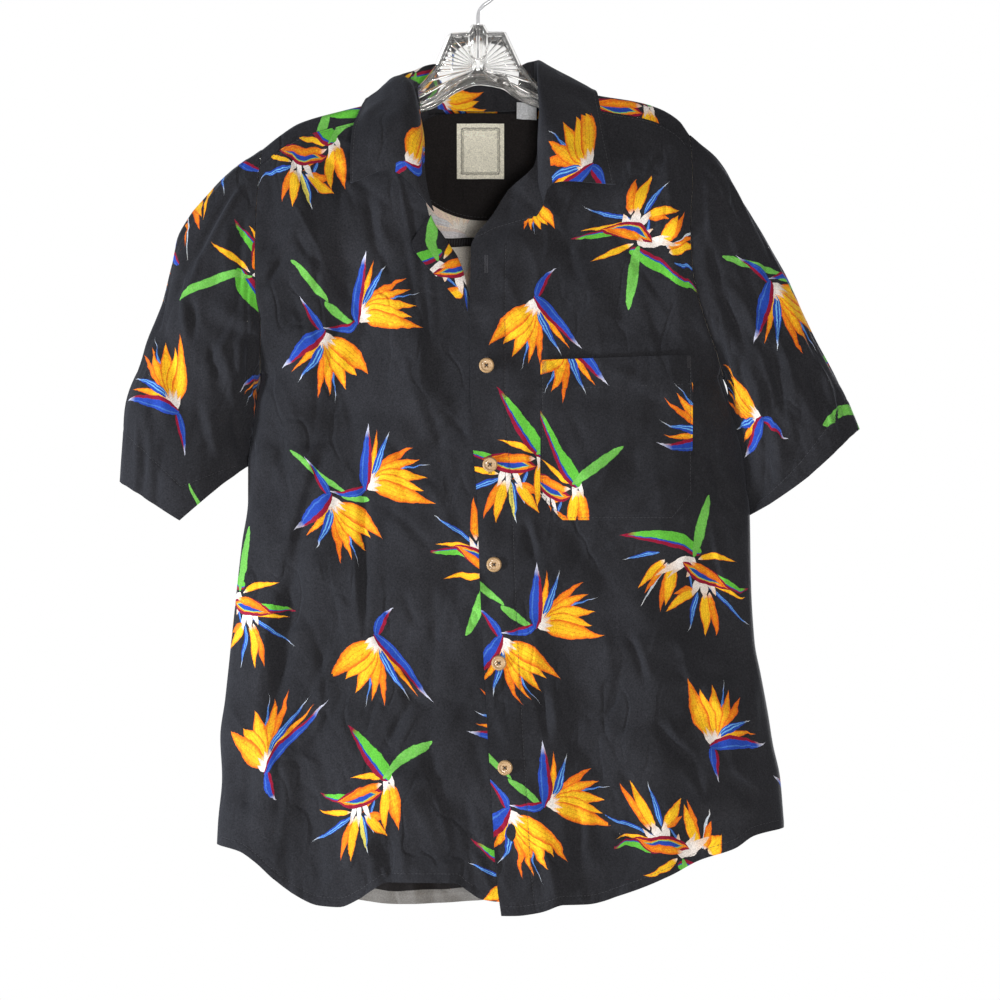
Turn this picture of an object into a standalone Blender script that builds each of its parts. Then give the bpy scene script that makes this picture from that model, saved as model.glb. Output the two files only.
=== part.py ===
"""Short-sleeved printed shirt with a camp collar, hanging on a clear hanger.

Metres, +Z up. The front faces -Y and +X is on the right of someone who looks at
the front. The origin is the inner top of the hook, where a rail would carry it.
Inside the script lengths are millimetres, and a height is a drop below the origin.
"""

import math

import bmesh
import bpy
import numpy as np

MM = 0.001

# Driving dimensions, in millimetres
CLOTH = 1.2                 # wall of one layer of shirting
COLLAR_CLOTH = 1.8          # collar: two layers and interlining
TRIM_CLOTH = 1.0            # half-moon facing and labels
SEAM_GAP = 0.5              # space between two pieces at a seam, on the outer face
SIDE_GAP = 0.45             # each panel's half of the gap at the side seam
LAY_GAP = 1.4               # space under a piece that lies on another
FACING_GAP = 2.4            # space behind the half-moon facing, which hangs a little free
BAND_WIDTH = 31.0           # button band, edge to stitch line
BAND_LIFT = 2.7             # left front's height over the right front at the band
RIDGE_RADIUS = 6.0          # cloth bending over the hanger's arm
SPREAD_DROP = 100.0         # drop over which the body opens out below the arm
NECK_MID, NECK_FLAT, NECK_FADE = 4.0, 30.0, 98.0   # zone where the neck stands open
NECK_BACK, NECK_FRONT = 27.0, 8.0                   # extra depth there, back and front
ARC_STEPS = 18              # steps from shoulder point to underarm on each half armhole
FRONT_SEAM, NECK_ROW, BACK_SEAM = 3, 4, 8           # steps where the yoke's edges lie
SIDE_ROWS = 12              # rows from the underarm to the hem
ROUND_FROM = 240.0          # drop where the armhole edge starts to turn in
EASE_FROM, EASE_TO = 215.0, 500.0   # drops over which the chest closes towards the sides
BUTTON_RADIUS, BUTTON_THICK = 6.6, 2.4
HOLE_RADIUS, HOLE_OFFSET = 0.9, 1.55
HANGER_HALF, HANGER_BEVEL = 4.0, 2.0
HANGER_TOP = 3.2            # arm's top edge below the cloth's ridge
WIRE_RADIUS, HOOK_RADIUS = 1.6, 21.6


def table(columns, rows):
    """Turns rows of numbers into named columns."""
    return dict(zip(columns.split(), np.array(rows, float).T))


SHOULDERS = {               # shoulder point and underarm of each armhole
    -1: dict(x=-194.4, drop=173.2, underarm=376.0),
    +1: dict(x=190.5, drop=160.0, underarm=378.0),
}

RIDGE = table("x drop", [   # crest of the cloth over the hanger's arms
    (-236, 206), (-214, 187), (-194.4, 173.2), (-179, 161), (-160, 149), (-118, 137),
    (-104, 133.5), (-59, 116.5), (-30, 112.5), (4, 111.5), (36, 111.5), (60, 113.8),
    (110, 124.6), (143, 130), (163, 136), (181, 147), (190.5, 160), (212, 180), (234, 212)])

SIDES = {                   # armhole edge, then side seam
    -1: table("drop x", [
        (173, -194.4), (221, -197.6), (266, -198.3), (301, -197.6), (332, -193.5), (376, -195.5),
        (395, -199), (435, -204.3), (454, -207), (488, -207), (527, -212.4), (592, -219.6),
        (668, -227.7), (702, -232), (737, -230.4), (778, -234), (797, -235)]),
    +1: table("drop x", [
        (160, 190.5), (194, 192), (248, 189.5), (278, 190.5), (306, 195.5), (330, 203), (354, 212), (378, 220),
        (407, 228.6), (428, 234), (449, 238.5), (474, 242), (506, 244.8), (561, 245.7),
        (616, 249), (646, 254.7), (680, 261), (708, 265.5), (737, 271.8), (778, 275.4)]),
}

DEPTHS = table("drop front back", [     # how far the body stands out, front and back
    (110, 46, 42), (250, 50, 44), (400, 51, 45), (550, 51, 45), (700, 54, 48), (860, 58, 52)])

FOLDS = {                   # soft folds: a line from top to foot, its half width and rise
    "front": table("top_x top_drop foot_x foot_drop half_width rise", [
        (-150, 160, -150, 420, 26, 5.0),
        (-112, 210, -128, 560, 24, -4.0),
        (-178, 390, -96, 640, 30, 5.5),
        (-126, 470, -112, 700, 26, -4.5),
        (-60, 250, -66, 600, 28, 3.5),
        (-196, 540, -196, 800, 26, 6.0),
        (-150, 640, -142, 880, 28, -6.0),
        (-82, 680, -52, 880, 30, 6.5),
        (172, 170, 206, 430, 18, 4.0),
        (214, 400, 206, 640, 26, -5.0),
        (150, 540, 170, 860, 32, 5.5),
        (96, 580, 108, 880, 30, -4.5),
        (222, 600, 236, 800, 26, 5.0)]),
    "back": table("top_x top_drop foot_x foot_drop half_width rise", [
        (-130, 240, -150, 640, 30, 6.0),
        (-86, 270, -96, 860, 28, -6.0),
        (-40, 330, -34, 880, 32, 6.5),
        (20, 280, 26, 700, 28, -5.0),
        (66, 320, 84, 880, 32, 6.5),
        (118, 260, 140, 820, 28, -6.0),
        (164, 300, 196, 800, 28, 6.0),
        (-184, 470, -190, 830, 26, -5.0)]),
}

BAND_EDGE = table("drop x", [           # free edge of the left front, neck to hem
    (128, 59), (148, 57), (176, 53.5), (190, 50.5), (212, 28), (238, 11), (249, 1), (256.5, -3.5),
    (264, -6.2), (338, -6.8), (382, -6.8), (440, -4.1), (490, -0.5), (562, 2.1), (653, 6.5),
    (746, 11.9), (827, 17.2), (856, 21.0)])

UNDER_EDGE = table("drop x", [          # free edge of the right front, neck, lapel fold, band
    (128, -56), (145, -53), (167, -49.5), (190, -51), (212, -48.5), (232, -44), (239, -42),
    (259, -27), (274, -17), (304, -8), (315, -4), (330, 7), (345, 17), (365, 23)])

HEMS = {
    "front_left": table("x drop", [
        (20, 855), (34, 855), (56, 852), (76, 846), (95, 846), (135, 835), (170, 821),
        (196, 808), (228, 798), (247, 787), (275.4, 782)]),
    "front_right": table("x drop", [
        (-235, 797), (-214, 801), (-199, 810), (-182, 825), (-164, 838), (-140, 848), (-123, 849),
        (-106, 842), (-93, 833), (-80, 826), (-19, 826), (-9, 833), (4, 841), (20, 843), (56, 843)]),
    "back": table("x drop", [
        (-235, 797), (-206, 810), (-176, 827), (-146, 842), (-112, 853), (-70, 858), (-30, 857),
        (20, 853), (60, 846), (100, 838), (150, 824), (200, 802), (250, 786), (275.4, 782)]),
}

LAPEL = table("drop fold outer lift", [     # turned-back facing: fold, free edge, height off the front
    (235, -41.5, -42.0, 0.5), (243, -38.0, -48.0, 2.0), (252, -31.5, -54.0, 4.0),
    (261, -25.5, -58.5, 5.5), (271, -19.0, -53.5, 5.5), (283, -13.5, -43.5, 4.5),
    (297, -10.0, -30.5, 3.0), (310, -9.2, -19.0, 1.5), (321, -9.0, -11.0, 0.5)])

COLLAR = table(
    "seam_x seam_y seam_drop roll_x roll_y roll_drop edge_x edge_y edge_drop", [
        (-38.7, -44, 232, -68.8, -48, 200, -113.1, -46, 207),
        (-44.1, -42, 213, -67.0, -50, 180, -113.3, -42, 182),
        (-47.0, -38, 191, -62.7, -48, 158, -111.9, -34, 159),
        (-47.5, -30, 168, -57.5, -38, 137, -107.0, -20, 143),
        (-51.0, -22, 145, -60.0, -24, 116, -103.0, -9, 132),
        (-53.5, -13, 126, -67.0, -10, 108, -100.0, -4, 127),
        (-54.5, 0, 112, -72.0, 3, 106, -97.0, 5, 127),
        (-53.5, 12, 120, -68.0, 14, 104, -92.0, 18, 134),
        (-48.0, 24, 130, -58.0, 24, 100, -84.0, 36, 144),
        (-32.9, 34, 132.5, -37.5, 36, 91.5, -56.0, 50, 153),
        (-16.6, 38, 133.5, -18.5, 42, 101, -28.0, 56, 159),
        (5.0, 39, 134, 0.0, 44, 108, 0.0, 58, 162),
        (28.9, 38, 133.5, 24.4, 42, 100, 31.0, 56, 159),
        (44.0, 32, 132, 45.3, 34, 90.5, 64.0, 50, 153),
        (54.5, 22, 127, 52.5, 22, 91, 92.0, 36, 142),
        (59.0, 10, 116, 53.5, 9, 92.5, 101.0, 18, 128),
        (59.5, 0, 109, 54.0, -2, 96, 105.0, 4, 119),
        (58.5, -11, 117, 53.5, -15, 106, 107.0, -6, 122),
        (56.5, -18, 131, 54.5, -25, 119, 109.5, -14, 136),
        (54.0, -27, 151, 57.5, -36, 138, 112.5, -26, 155),
        (53.0, -35, 176, 60.5, -46, 161, 116.7, -36, 178),
        (53.5, -40, 205, 62.4, -50, 186, 120.1, -42, 195),
        (58.2, -45, 225, 65.0, -50, 209, 122.7, -44, 208)])

SLEEVES = {                 # sections from armhole to hem
    -1: table("at top_x top_drop under_x under_drop front back shift sag_front sag_back", [
        (0.00, -194.7, 173.2, -196.0, 376, 34, 32, 0, 0, 0),
        (0.12, -217, 189, -199.5, 394, 36, 34, 0, 2, 1),
        (0.26, -246, 218, -203.5, 411, 38, 36, 2, 6, 3),
        (0.40, -268, 252, -206.0, 426, 39, 37, 4, 10, 5),
        (0.56, -282, 304, -207.8, 438, 38, 36, 6, 16, 8),
        (0.72, -300, 356, -209.4, 447, 37, 35, 7, 24, 12),
        (0.86, -317, 408, -210.0, 453, 36, 34, 8, 34, 18),
        (1.00, -321, 472, -210.6, 457, 35, 33, 8, 42, 26)]),
    +1: table("at top_x top_drop under_x under_drop front back shift sag_front sag_back", [
        (0.00, 190.8, 160, 220.3, 378, 34, 32, 0, 0, 0),
        (0.12, 213, 180, 229.0, 399, 36, 34, 0, 1, 0),
        (0.26, 238, 219, 236.5, 424, 38, 36, 2, 3, 1),
        (0.40, 260, 256, 242.0, 448, 39, 37, 4, 4, 1),
        (0.56, 285, 303, 246.0, 470, 38, 36, 6, 5, 0),
        (0.72, 306, 347, 247.9, 486, 37, 35, 7, 5, -1),
        (0.86, 326, 388, 248.3, 497, 36, 34, 8, 4, -3),
        (1.00, 341, 425, 248.6, 504, 34, 32, 8, 3, -6)]),
}

POCKET = dict(left=55.6, right=191.2, top_left=364.4, top_right=358.9, foot=506.0, clip=19.0, clip_rise=22.0)
BUTTONS = table("x drop", [(7.9, 369.2), (11.0, 456.9), (14.5, 545.3), (18.9, 632.2), (24.2, 724.5)])
FACING = dict(middle=4.0, half_width=84.0, foot=234.0, centre_drop=146.0)
NECK_LABEL = dict(left=-19.4, right=23.5, top=146.2, foot=196.2, lean=0.0, off=1.4)
CARE_LABEL = dict(left=35.0, right=53.0, top=128.0, foot=143.0, lean=1.5, off=4.0)
HANGER_NECK = table("x drop", [         # upper outline of the fan, arm to arm
    (-57, 120.2), (-46.4, 109), (-36, 95.8), (-24.3, 67.9), (-8, 66.6), (-4, 60), (4, 60), (8, 66.6),
    (23.4, 66.6), (36.9, 95.8), (51.3, 112.1), (58, 117)])
HANGER_ARCH = table("x drop", [         # lower outline under the fan
    (-57, 142), (-38.7, 134.6), (-19.8, 121.9), (0, 115.1), (20.7, 117.9), (38.7, 129.6), (58, 137)])
HANGER_ENDS = (-211.0, 204.0)

FINISHES = {                # colour, roughness, metallic
    "printed_cotton": ((0.030, 0.030, 0.036), 0.85, 0.0),
    "plain_cotton": ((0.018, 0.017, 0.018), 0.85, 0.0),
    "coconut": ((0.52, 0.37, 0.21), 0.5, 0.0),
    "cream_label": ((0.82, 0.78, 0.64), 0.8, 0.0),
    "grey_label": ((0.70, 0.71, 0.72), 0.8, 0.0),
    "clear_plastic": ((0.86, 0.85, 0.84), 0.08, 0.0),
    "bright_wire": ((0.78, 0.78, 0.80), 0.2, 1.0),
}


def smooth(x, y, at):
    """Smooth curve through points: cubic pieces that never overshoot, held level past both ends."""
    at = np.clip(np.asarray(at, float), x[0], x[-1])
    step, rise = np.diff(x), np.diff(y) / np.diff(x)
    product, total = rise[:-1] * rise[1:], rise[:-1] + rise[1:]
    inner = np.where(product > 0, 2 * product / np.where(total == 0, 1, total), 0)
    slope = np.concatenate([rise[:1], inner, rise[-1:]])
    i = np.clip(np.searchsorted(x, at, side="right") - 1, 0, len(x) - 2)
    t = (at - x[i]) / step[i]
    return (y[i] * (1 + 2 * t) * (1 - t) ** 2 + slope[i] * step[i] * t * (1 - t) ** 2
            + y[i + 1] * t * t * (3 - 2 * t) + slope[i + 1] * step[i] * t * t * (t - 1))


def ease(value, low, high):
    """0 at low, 1 at high, with level ends."""
    t = np.clip((value - low) / (high - low), 0, 1)
    return t * t * (3 - 2 * t)


def ridge(x):
    """Drop of the shoulder crest at x."""
    return smooth(RIDGE["x"], RIDGE["drop"], x)


def side(hand, drop):
    """x of the armhole edge or side seam of one side."""
    return smooth(SIDES[hand]["drop"], SIDES[hand]["x"], drop)


def underarm_level(x):
    """Drop of the underarm on the side that x is on."""
    return np.where(x < 0, SHOULDERS[-1]["underarm"], SHOULDERS[1]["underarm"])


def fold_rise(face, x, drop):
    """Sum of the soft folds: each is a bell across its line that fades in and out along it."""
    rise = np.zeros(np.broadcast(x, drop).shape)
    for top_x, top, foot_x, foot, width, height in zip(*FOLDS[face].values()):
        along = np.clip((drop - top) / (foot - top), 0, 1)
        line = top_x + (foot_x - top_x) * along
        fade = ease(drop, top, top + 70) * (1 - ease(drop, foot - 70, foot))
        rise += height * fade * np.exp(-((x - line) / width) ** 2)
    return rise


def body_depth(face, x, drop):
    """Distance of the body's outer face from the hanger's plane.

    Over the arm it is an arc and below it opens out to the table's depth. Towards the
    side seam it closes as a flattened ellipse, and at the armhole as half an ellipse.
    """
    x, drop = np.broadcast_arrays(np.asarray(x, float), np.asarray(drop, float))
    open_neck = 1 - ease(abs(x - NECK_MID), NECK_FLAT, NECK_FADE)
    extra = NECK_BACK if face == "back" else NECK_FRONT
    arc_depth, arc_drop = RIDGE_RADIUS + extra * open_neck, RIDGE_RADIUS + 4 * open_neck
    below = np.maximum(drop - ridge(x), 0)
    arc = arc_depth * np.sqrt(1 - (1 - np.minimum(below / arc_drop, 1)) ** 2)
    full = smooth(DEPTHS["drop"], DEPTHS[face], drop)
    depth = arc + (full - arc_depth) * (1 - np.exp(-np.maximum(below - arc_drop, 0) / SPREAD_DROP))
    left, right = side(-1, drop), side(1, drop)
    middle = (left + right) / 2
    reach = np.where(x < middle, middle - left, right - middle)
    across = np.clip(abs(x - middle) / reach, 0, 1)
    turn = np.clip((drop - ROUND_FROM) / (underarm_level(x) - ROUND_FROM), 0, 1)
    edge = np.sqrt(1 - turn ** 2)
    inner = 1 - ease(drop, EASE_FROM, EASE_TO)
    closing = inner + (1 - inner) * (1 - across ** 2) ** 0.4 + (edge - inner) * across ** (6 + 18 * turn ** 2)
    folds = fold_rise(face, x, drop) * ease(1 - across, 0, 0.2) * ease(below, 10, 60)
    return depth * closing + folds


def left_front_depth(x, drop):
    """The left front lies over the right one, so it stands out further near the band."""
    lift = BAND_LIFT * (1 - ease(x - smooth(BAND_EDGE["drop"], BAND_EDGE["x"], drop), 34, 80))
    return body_depth("front", x, drop) + lift


def arc_heights(hand):
    """Drops of the steps round half an armhole, evenly spaced by angle."""
    shoulder = SHOULDERS[hand]
    half = (shoulder["underarm"] - shoulder["drop"]) / 2
    return shoulder["drop"] + half * (1 - np.cos(np.linspace(0, math.pi, ARC_STEPS + 1)))


def yoke_seam(x, step):
    """Drop of a yoke edge: a set step below the crest in front, a straight line at the back."""
    low, high = SHOULDERS[-1]["x"], SHOULDERS[1]["x"]
    share = (np.asarray(x, float) - low) / (high - low)
    drops = [arc_heights(hand)[step] for hand in (-1, 1)]
    if step == BACK_SEAM:
        return drops[0] + (drops[1] - drops[0]) * share
    below = [drops[0] - SHOULDERS[-1]["drop"], drops[1] - SHOULDERS[1]["drop"]]
    return ridge(x) + below[0] + (below[1] - below[0]) * share


def new_object(name, points, faces, finish):
    """Mesh object from points in millimetres as x, y, drop."""
    points = np.asarray(points, float).reshape(-1, 3) * (MM, MM, -MM)
    mesh = bpy.data.meshes.new(name)
    mesh.from_pydata(points.tolist(), [], faces)
    mesh.shade_smooth()
    return place(name, mesh, finish)


def place(name, mesh, finish):
    """Adds an object to the shirt's collection with its own material."""
    piece = bpy.data.objects.new(name, mesh)
    bpy.data.collections["hawaiian_shirt"].objects.link(piece)
    dress(piece, finish)
    return piece


def dress(piece, finish):
    """Gives a piece its own Principled material."""
    colour, roughness, metallic = FINISHES[finish]
    material = bpy.data.materials.new(piece.name)
    material.use_nodes = True
    shader = material.node_tree.nodes["Principled BSDF"]
    shader.inputs["Base Color"].default_value = (*colour, 1.0)
    shader.inputs["Roughness"].default_value = roughness
    shader.inputs["Metallic"].default_value = metallic
    piece.data.materials.clear()
    piece.data.materials.append(material)


def cloth(name, grid, wall, finish, keep=None, closed=False):
    """A sheet of cloth: an open grid of points on its outer face, thickened inwards.

    Rows run down and columns run to the right as seen from outside. keep marks the
    cells that belong to the piece, and closed joins the last column to the first.
    """
    rows, columns = grid.shape[:2]
    cells = [(r, c, (c + 1) % columns) for r in range(rows - 1) for c in range(columns if closed else columns - 1)
             if keep is None or keep[r][c]]
    faces = [(r * columns + c, (r + 1) * columns + c, (r + 1) * columns + n, r * columns + n) for r, c, n in cells]
    piece = new_object(name, grid, faces, finish)
    drop_loose_points(piece.data)
    shell = piece.modifiers.new("wall", "SOLIDIFY")
    shell.thickness = wall * MM
    shell.offset = -1
    shell.use_even_offset = True
    return piece


def drop_loose_points(mesh):
    """Removes the points that no cell uses."""
    work = bmesh.new()
    work.from_mesh(mesh)
    loose = [point for point in work.verts if not point.link_faces]
    bmesh.ops.delete(work, geom=loose, context="VERTS")
    work.to_mesh(mesh)
    work.free()


def side_levels(hand, first_step, hem_drop):
    """Shares of the way from a panel's top to its hem, for rows that match the armhole's steps."""
    arc = arc_heights(hand)
    down = np.linspace(arc[-1], hem_drop, SIDE_ROWS + 1)[1:]
    levels = np.concatenate([arc[first_step:], down])
    return (levels - levels[0]) / (levels[-1] - levels[0])


def settle(shares, levels, inner, outer, top, hem):
    """x and drop of a grid between two side lines, a top line and a hem line."""
    x = np.broadcast_to(inner(300.0) + (outer(300.0) - inner(300.0)) * shares, levels.shape)
    for _ in range(12):
        drop = top(x) + (hem(x) - top(x)) * levels
        x = inner(drop) + (outer(drop) - inner(drop)) * shares
    drop[0] += SEAM_GAP
    return x, drop


FRONT_SHARES = np.array((0, 0.07, 0.14, 0.26, 0.39, 0.52, 0.65, 0.77, 0.87, 0.94, 0.98, 0.995, 1))


def front_panel(name, hand, edge, depth):
    """One front: yoke seam to hem, free edge to armhole and side seam."""
    hem = HEMS[name]
    levels = side_levels(hand, FRONT_SEAM, smooth(hem["x"], hem["drop"], hand * 999.0))
    x, drop = settle(
        FRONT_SHARES, levels[:, None] * np.ones(len(FRONT_SHARES)),
        edge, lambda d: side(hand, d),
        lambda a: yoke_seam(a, FRONT_SEAM), lambda a: smooth(hem["x"], hem["drop"], a))
    y = -np.maximum(depth(x, drop), SIDE_GAP)
    grid = np.stack([x, y, drop], -1)
    return cloth(name, grid if hand > 0 else grid[:, ::-1], CLOTH, "printed_cotton")


def build_fronts():
    """Both fronts; the left one lies on top at the button band."""
    front_panel("front_left", 1, lambda d: smooth(BAND_EDGE["drop"], BAND_EDGE["x"], d),
                left_front_depth)

    def under_edge(drop):
        band = smooth(BAND_EDGE["drop"], BAND_EDGE["x"], drop) + BAND_WIDTH
        edge = smooth(UNDER_EDGE["drop"], UNDER_EDGE["x"], drop)
        return edge + (band - edge) * ease(drop, 345, 375)

    front_panel("front_right", -1, under_edge, lambda x, d: body_depth("front", x, d))


def build_back():
    """Back panel below the yoke, side seam to side seam."""
    hem = HEMS["back"]
    half = np.array((0, 0.14, 0.28, 0.42, 0.55, 0.67, 0.78, 0.88, 0.95, 0.985, 0.997, 1))
    shares = 0.5 + 0.5 * np.concatenate([-half[:0:-1], half])
    left, right = (side_levels(hand, BACK_SEAM, smooth(hem["x"], hem["drop"], hand * 999.0)) for hand in (-1, 1))
    levels = left[:, None] + (right - left)[:, None] * shares
    x, drop = settle(
        shares, levels, lambda d: side(-1, d), lambda d: side(1, d),
        lambda a: yoke_seam(a, BACK_SEAM), lambda a: smooth(hem["x"], hem["drop"], a))
    y = np.maximum(body_depth("back", x, drop), SIDE_GAP)
    cloth("back", np.stack([x, y, drop], -1)[:, ::-1], CLOTH, "printed_cotton")


def neck_edge(hand, row):
    """x of the yoke's neck edge at a row, counted from the crest and negative in front."""
    places = np.array([-3, -1, 0, 2, 3, 4, 8.0])
    edges = {-1: np.array([-56, -58, -58, -57, -54, -46, -44.0]),
             1: np.array([59.5, 61.5, 62, 61, 58, 50, 48.0])}
    return smooth(places, edges[hand], row)


def build_yoke():
    """Yoke: two straps over the shoulders joined by a band across the back."""
    rows = np.arange(-FRONT_SEAM, BACK_SEAM + 1)
    strap = (1 - FRONT_SHARES)[::-1]
    middle = np.linspace(0, 1, 9)[1:-1]
    grid = []
    for row in rows:
        necks = [neck_edge(hand, row) for hand in (-1, 1)]
        arc_drops = [arc_heights(hand)[abs(row)] for hand in (-1, 1)]
        armholes = [side(hand, arc_drops[i]) for i, hand in enumerate((-1, 1))]
        x = np.concatenate([
            armholes[0] + (necks[0] - armholes[0]) * strap,
            necks[0] + (necks[1] - necks[0]) * middle,
            necks[1] + (armholes[1] - necks[1]) * FRONT_SHARES])
        drop = yoke_drop(x, row)
        face = "front" if row < 0 else "back"
        y = body_depth(face, x, drop) * (1 if row > 0 else -1)
        grid.append(np.stack([x, y * (row != 0), drop], -1))
    grid = np.array(grid)
    straps = len(strap)
    keep = [[row >= NECK_ROW or not straps - 1 <= c < straps + len(middle) for c in range(grid.shape[1] - 1)]
            for row in rows]
    return cloth("yoke", grid[::-1, :], CLOTH, "printed_cotton", keep=keep[:-1][::-1])


def yoke_drop(x, row):
    """Drop of a yoke row: steps below the crest, then shares of the way to the back seam."""
    step = abs(row)
    if row <= NECK_ROW:
        return yoke_seam(x, step) if step else ridge(x)
    cosine = np.cos(np.radians(180 / ARC_STEPS * np.array([NECK_ROW, row, BACK_SEAM])))
    share = (cosine[0] - cosine[1]) / (cosine[0] - cosine[2])
    start = yoke_seam(x, NECK_ROW)
    return start + (yoke_seam(x, BACK_SEAM) - start) * share


def build_facing():
    """Half-moon facing on the yoke's inner face, below the neck seam."""
    x = FACING["middle"] + FACING["half_width"] * np.sin(np.linspace(-1.35, 1.35, 13))
    reach = FACING["foot"] - FACING["centre_drop"]
    foot = FACING["centre_drop"] + reach * np.sqrt(1 - ((x - FACING["middle"]) / FACING["half_width"]) ** 2)
    top = np.minimum(yoke_seam(x, NECK_ROW) + 1.0 + 6 * ease(abs(x - FACING["middle"]), 40, 60), foot - 6)
    drop = top + (foot - top) * np.linspace(0, 1, 6)[:, None]
    x = np.broadcast_to(x, drop.shape)
    y = body_depth("back", x, drop) - CLOTH - FACING_GAP - TRIM_CLOTH
    cloth("yoke_facing", np.stack([x, y, drop], -1), TRIM_CLOTH, "plain_cotton")


def build_label(name, label, finish):
    """A small woven label inside the back neck."""
    across, down = np.meshgrid(np.linspace(0, 1, 4), np.linspace(0, 1, 5))
    x = label["left"] + (label["right"] - label["left"]) * across
    drop = label["top"] + (label["foot"] - label["top"]) * down + label["lean"] * (across - 0.5)
    y = body_depth("back", x, drop) - CLOTH - FACING_GAP - TRIM_CLOTH - label["off"]
    cloth(name, np.stack([x, y, drop], -1), 0.6, finish)


def build_lapel():
    """Right front's facing, turned back along the fold and lying on the front."""
    across = np.array((0, 0.15, 0.4, 0.7, 1))[None, :]
    drop = np.linspace(LAPEL["drop"][0], LAPEL["drop"][-1], 10)[:, None]
    fold, outer, lift = (smooth(LAPEL["drop"], LAPEL[key], drop) for key in ("fold", "outer", "lift"))
    x = fold + (outer - fold) * across
    drop = np.broadcast_to(drop, x.shape)
    y = -(body_depth("front", x, drop) + LAY_GAP + CLOTH + lift * across ** 0.7)
    cloth("lapel_right", np.stack([x, y, drop], -1)[:, ::-1], CLOTH, "printed_cotton")


def clear_of_body(points, gap):
    """Moves points that are too close to the shoulders or chest out of them by the shorter way."""
    x, y, drop = points[..., 0], points[..., 1], points[..., 2]
    depth = np.where(y < 0, np.maximum(body_depth("front", x, drop), left_front_depth(x, drop) * (x > 0)),
                     body_depth("back", x, drop)) + gap
    short, low = depth - abs(y), drop - (ridge(x) - gap)
    inside = (short > 0) & (low > 0)
    y = np.where(inside & (short <= low), np.where(y < 0, -depth, depth), y)
    drop = np.where(inside & (short > low), ridge(x) - gap, drop)
    return np.stack([x, y, drop], -1)


def build_collar():
    """Camp collar: seam, roll and free edge joined by smooth sections from end to end."""
    stations = np.arange(len(COLLAR["seam_x"]), dtype=float)
    at = np.linspace(0, stations[-1], 45)
    lines = [np.stack([smooth(stations, COLLAR[f"{line}_{axis}"], at) for axis in ("x", "y", "drop")], -1)
             for line in ("seam", "roll", "edge")]
    knots = np.array([0, 0.36, 1.0])
    down = np.array([0, 0.14, 0.26, 0.36, 0.46, 0.6, 0.8, 1.0])
    grid = np.empty((len(down), len(at), 3))
    for c in range(len(at)):
        for axis in range(3):
            grid[:, c, axis] = smooth(knots, np.array([line[c, axis] for line in lines]), down)
    grid = clear_of_body(grid, COLLAR_CLOTH + LAY_GAP)
    cloth("collar", grid, COLLAR_CLOTH, "printed_cotton")


def armhole_loop(hand):
    """Points round one armhole, from the shoulder point down the front and up the back."""
    arc = arc_heights(hand)
    drop = np.concatenate([arc, arc[-2:0:-1]])
    x = side(hand, drop)
    front = left_front_depth if hand > 0 else (lambda a, d: body_depth("front", a, d))
    count = len(arc)
    y = np.concatenate([-front(x[:count], arc), body_depth("back", x[count:], drop[count:])])
    y[0] = y[count - 1] = 0
    return np.stack([x + hand * SEAM_GAP, y, drop], -1)


def build_sleeve(name, hand):
    """Sleeve: flattened rings between a top line and an under line, from armhole to hem."""
    sections = SLEEVES[hand]
    loop = armhole_loop(hand)
    angle = np.linspace(0, 2 * math.pi, len(loop) + 1)[:-1]
    cos, sin = np.cos(angle), np.sin(angle)
    rings = []
    for at in np.linspace(0, 1, 12):
        row = {key: smooth(sections["at"], column, at) for key, column in sections.items()}
        x = (row["top_x"] + row["under_x"]) / 2 + (row["top_x"] - row["under_x"]) / 2 * cos
        drop = (row["top_drop"] + row["under_drop"]) / 2 + (row["top_drop"] - row["under_drop"]) / 2 * cos
        sag = np.where(sin > 0, row["sag_front"], row["sag_back"])
        drop = drop + sag * (1 - abs(cos))
        depth = np.where(sin > 0, row["front"], row["back"])
        y = row["shift"] * (1 - cos) / 2 - depth * np.sign(sin) * abs(sin) ** 0.8
        ring = np.stack([x, y, drop], -1)
        rings.append(ring)
    rings = np.array(rings)
    fade = (1 - np.linspace(0, 1, 12)) ** 3
    rings += (loop - rings[0]) * fade[:, None, None]
    return cloth(name, rings if hand < 0 else rings[:, ::-1], CLOTH, "printed_cotton", closed=True)


def build_pocket():
    """Chest pocket: the left front's own points moved out, with clipped bottom corners."""
    across, down = np.meshgrid(np.linspace(0, 1, 9), np.linspace(0, 1, 9))
    x = POCKET["left"] + (POCKET["right"] - POCKET["left"]) * across
    top = POCKET["top_left"] + (POCKET["top_right"] - POCKET["top_left"]) * across
    corner = np.minimum(x - POCKET["left"], POCKET["right"] - x) / POCKET["clip"]
    foot = POCKET["foot"] - POCKET["clip_rise"] * np.clip(1 - corner, 0, 1)
    drop = top + (foot - top) * down
    y = -(left_front_depth(x, drop) + LAY_GAP + CLOTH)
    cloth("pocket", np.stack([x, y, drop], -1), CLOTH, "printed_cotton")


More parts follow.
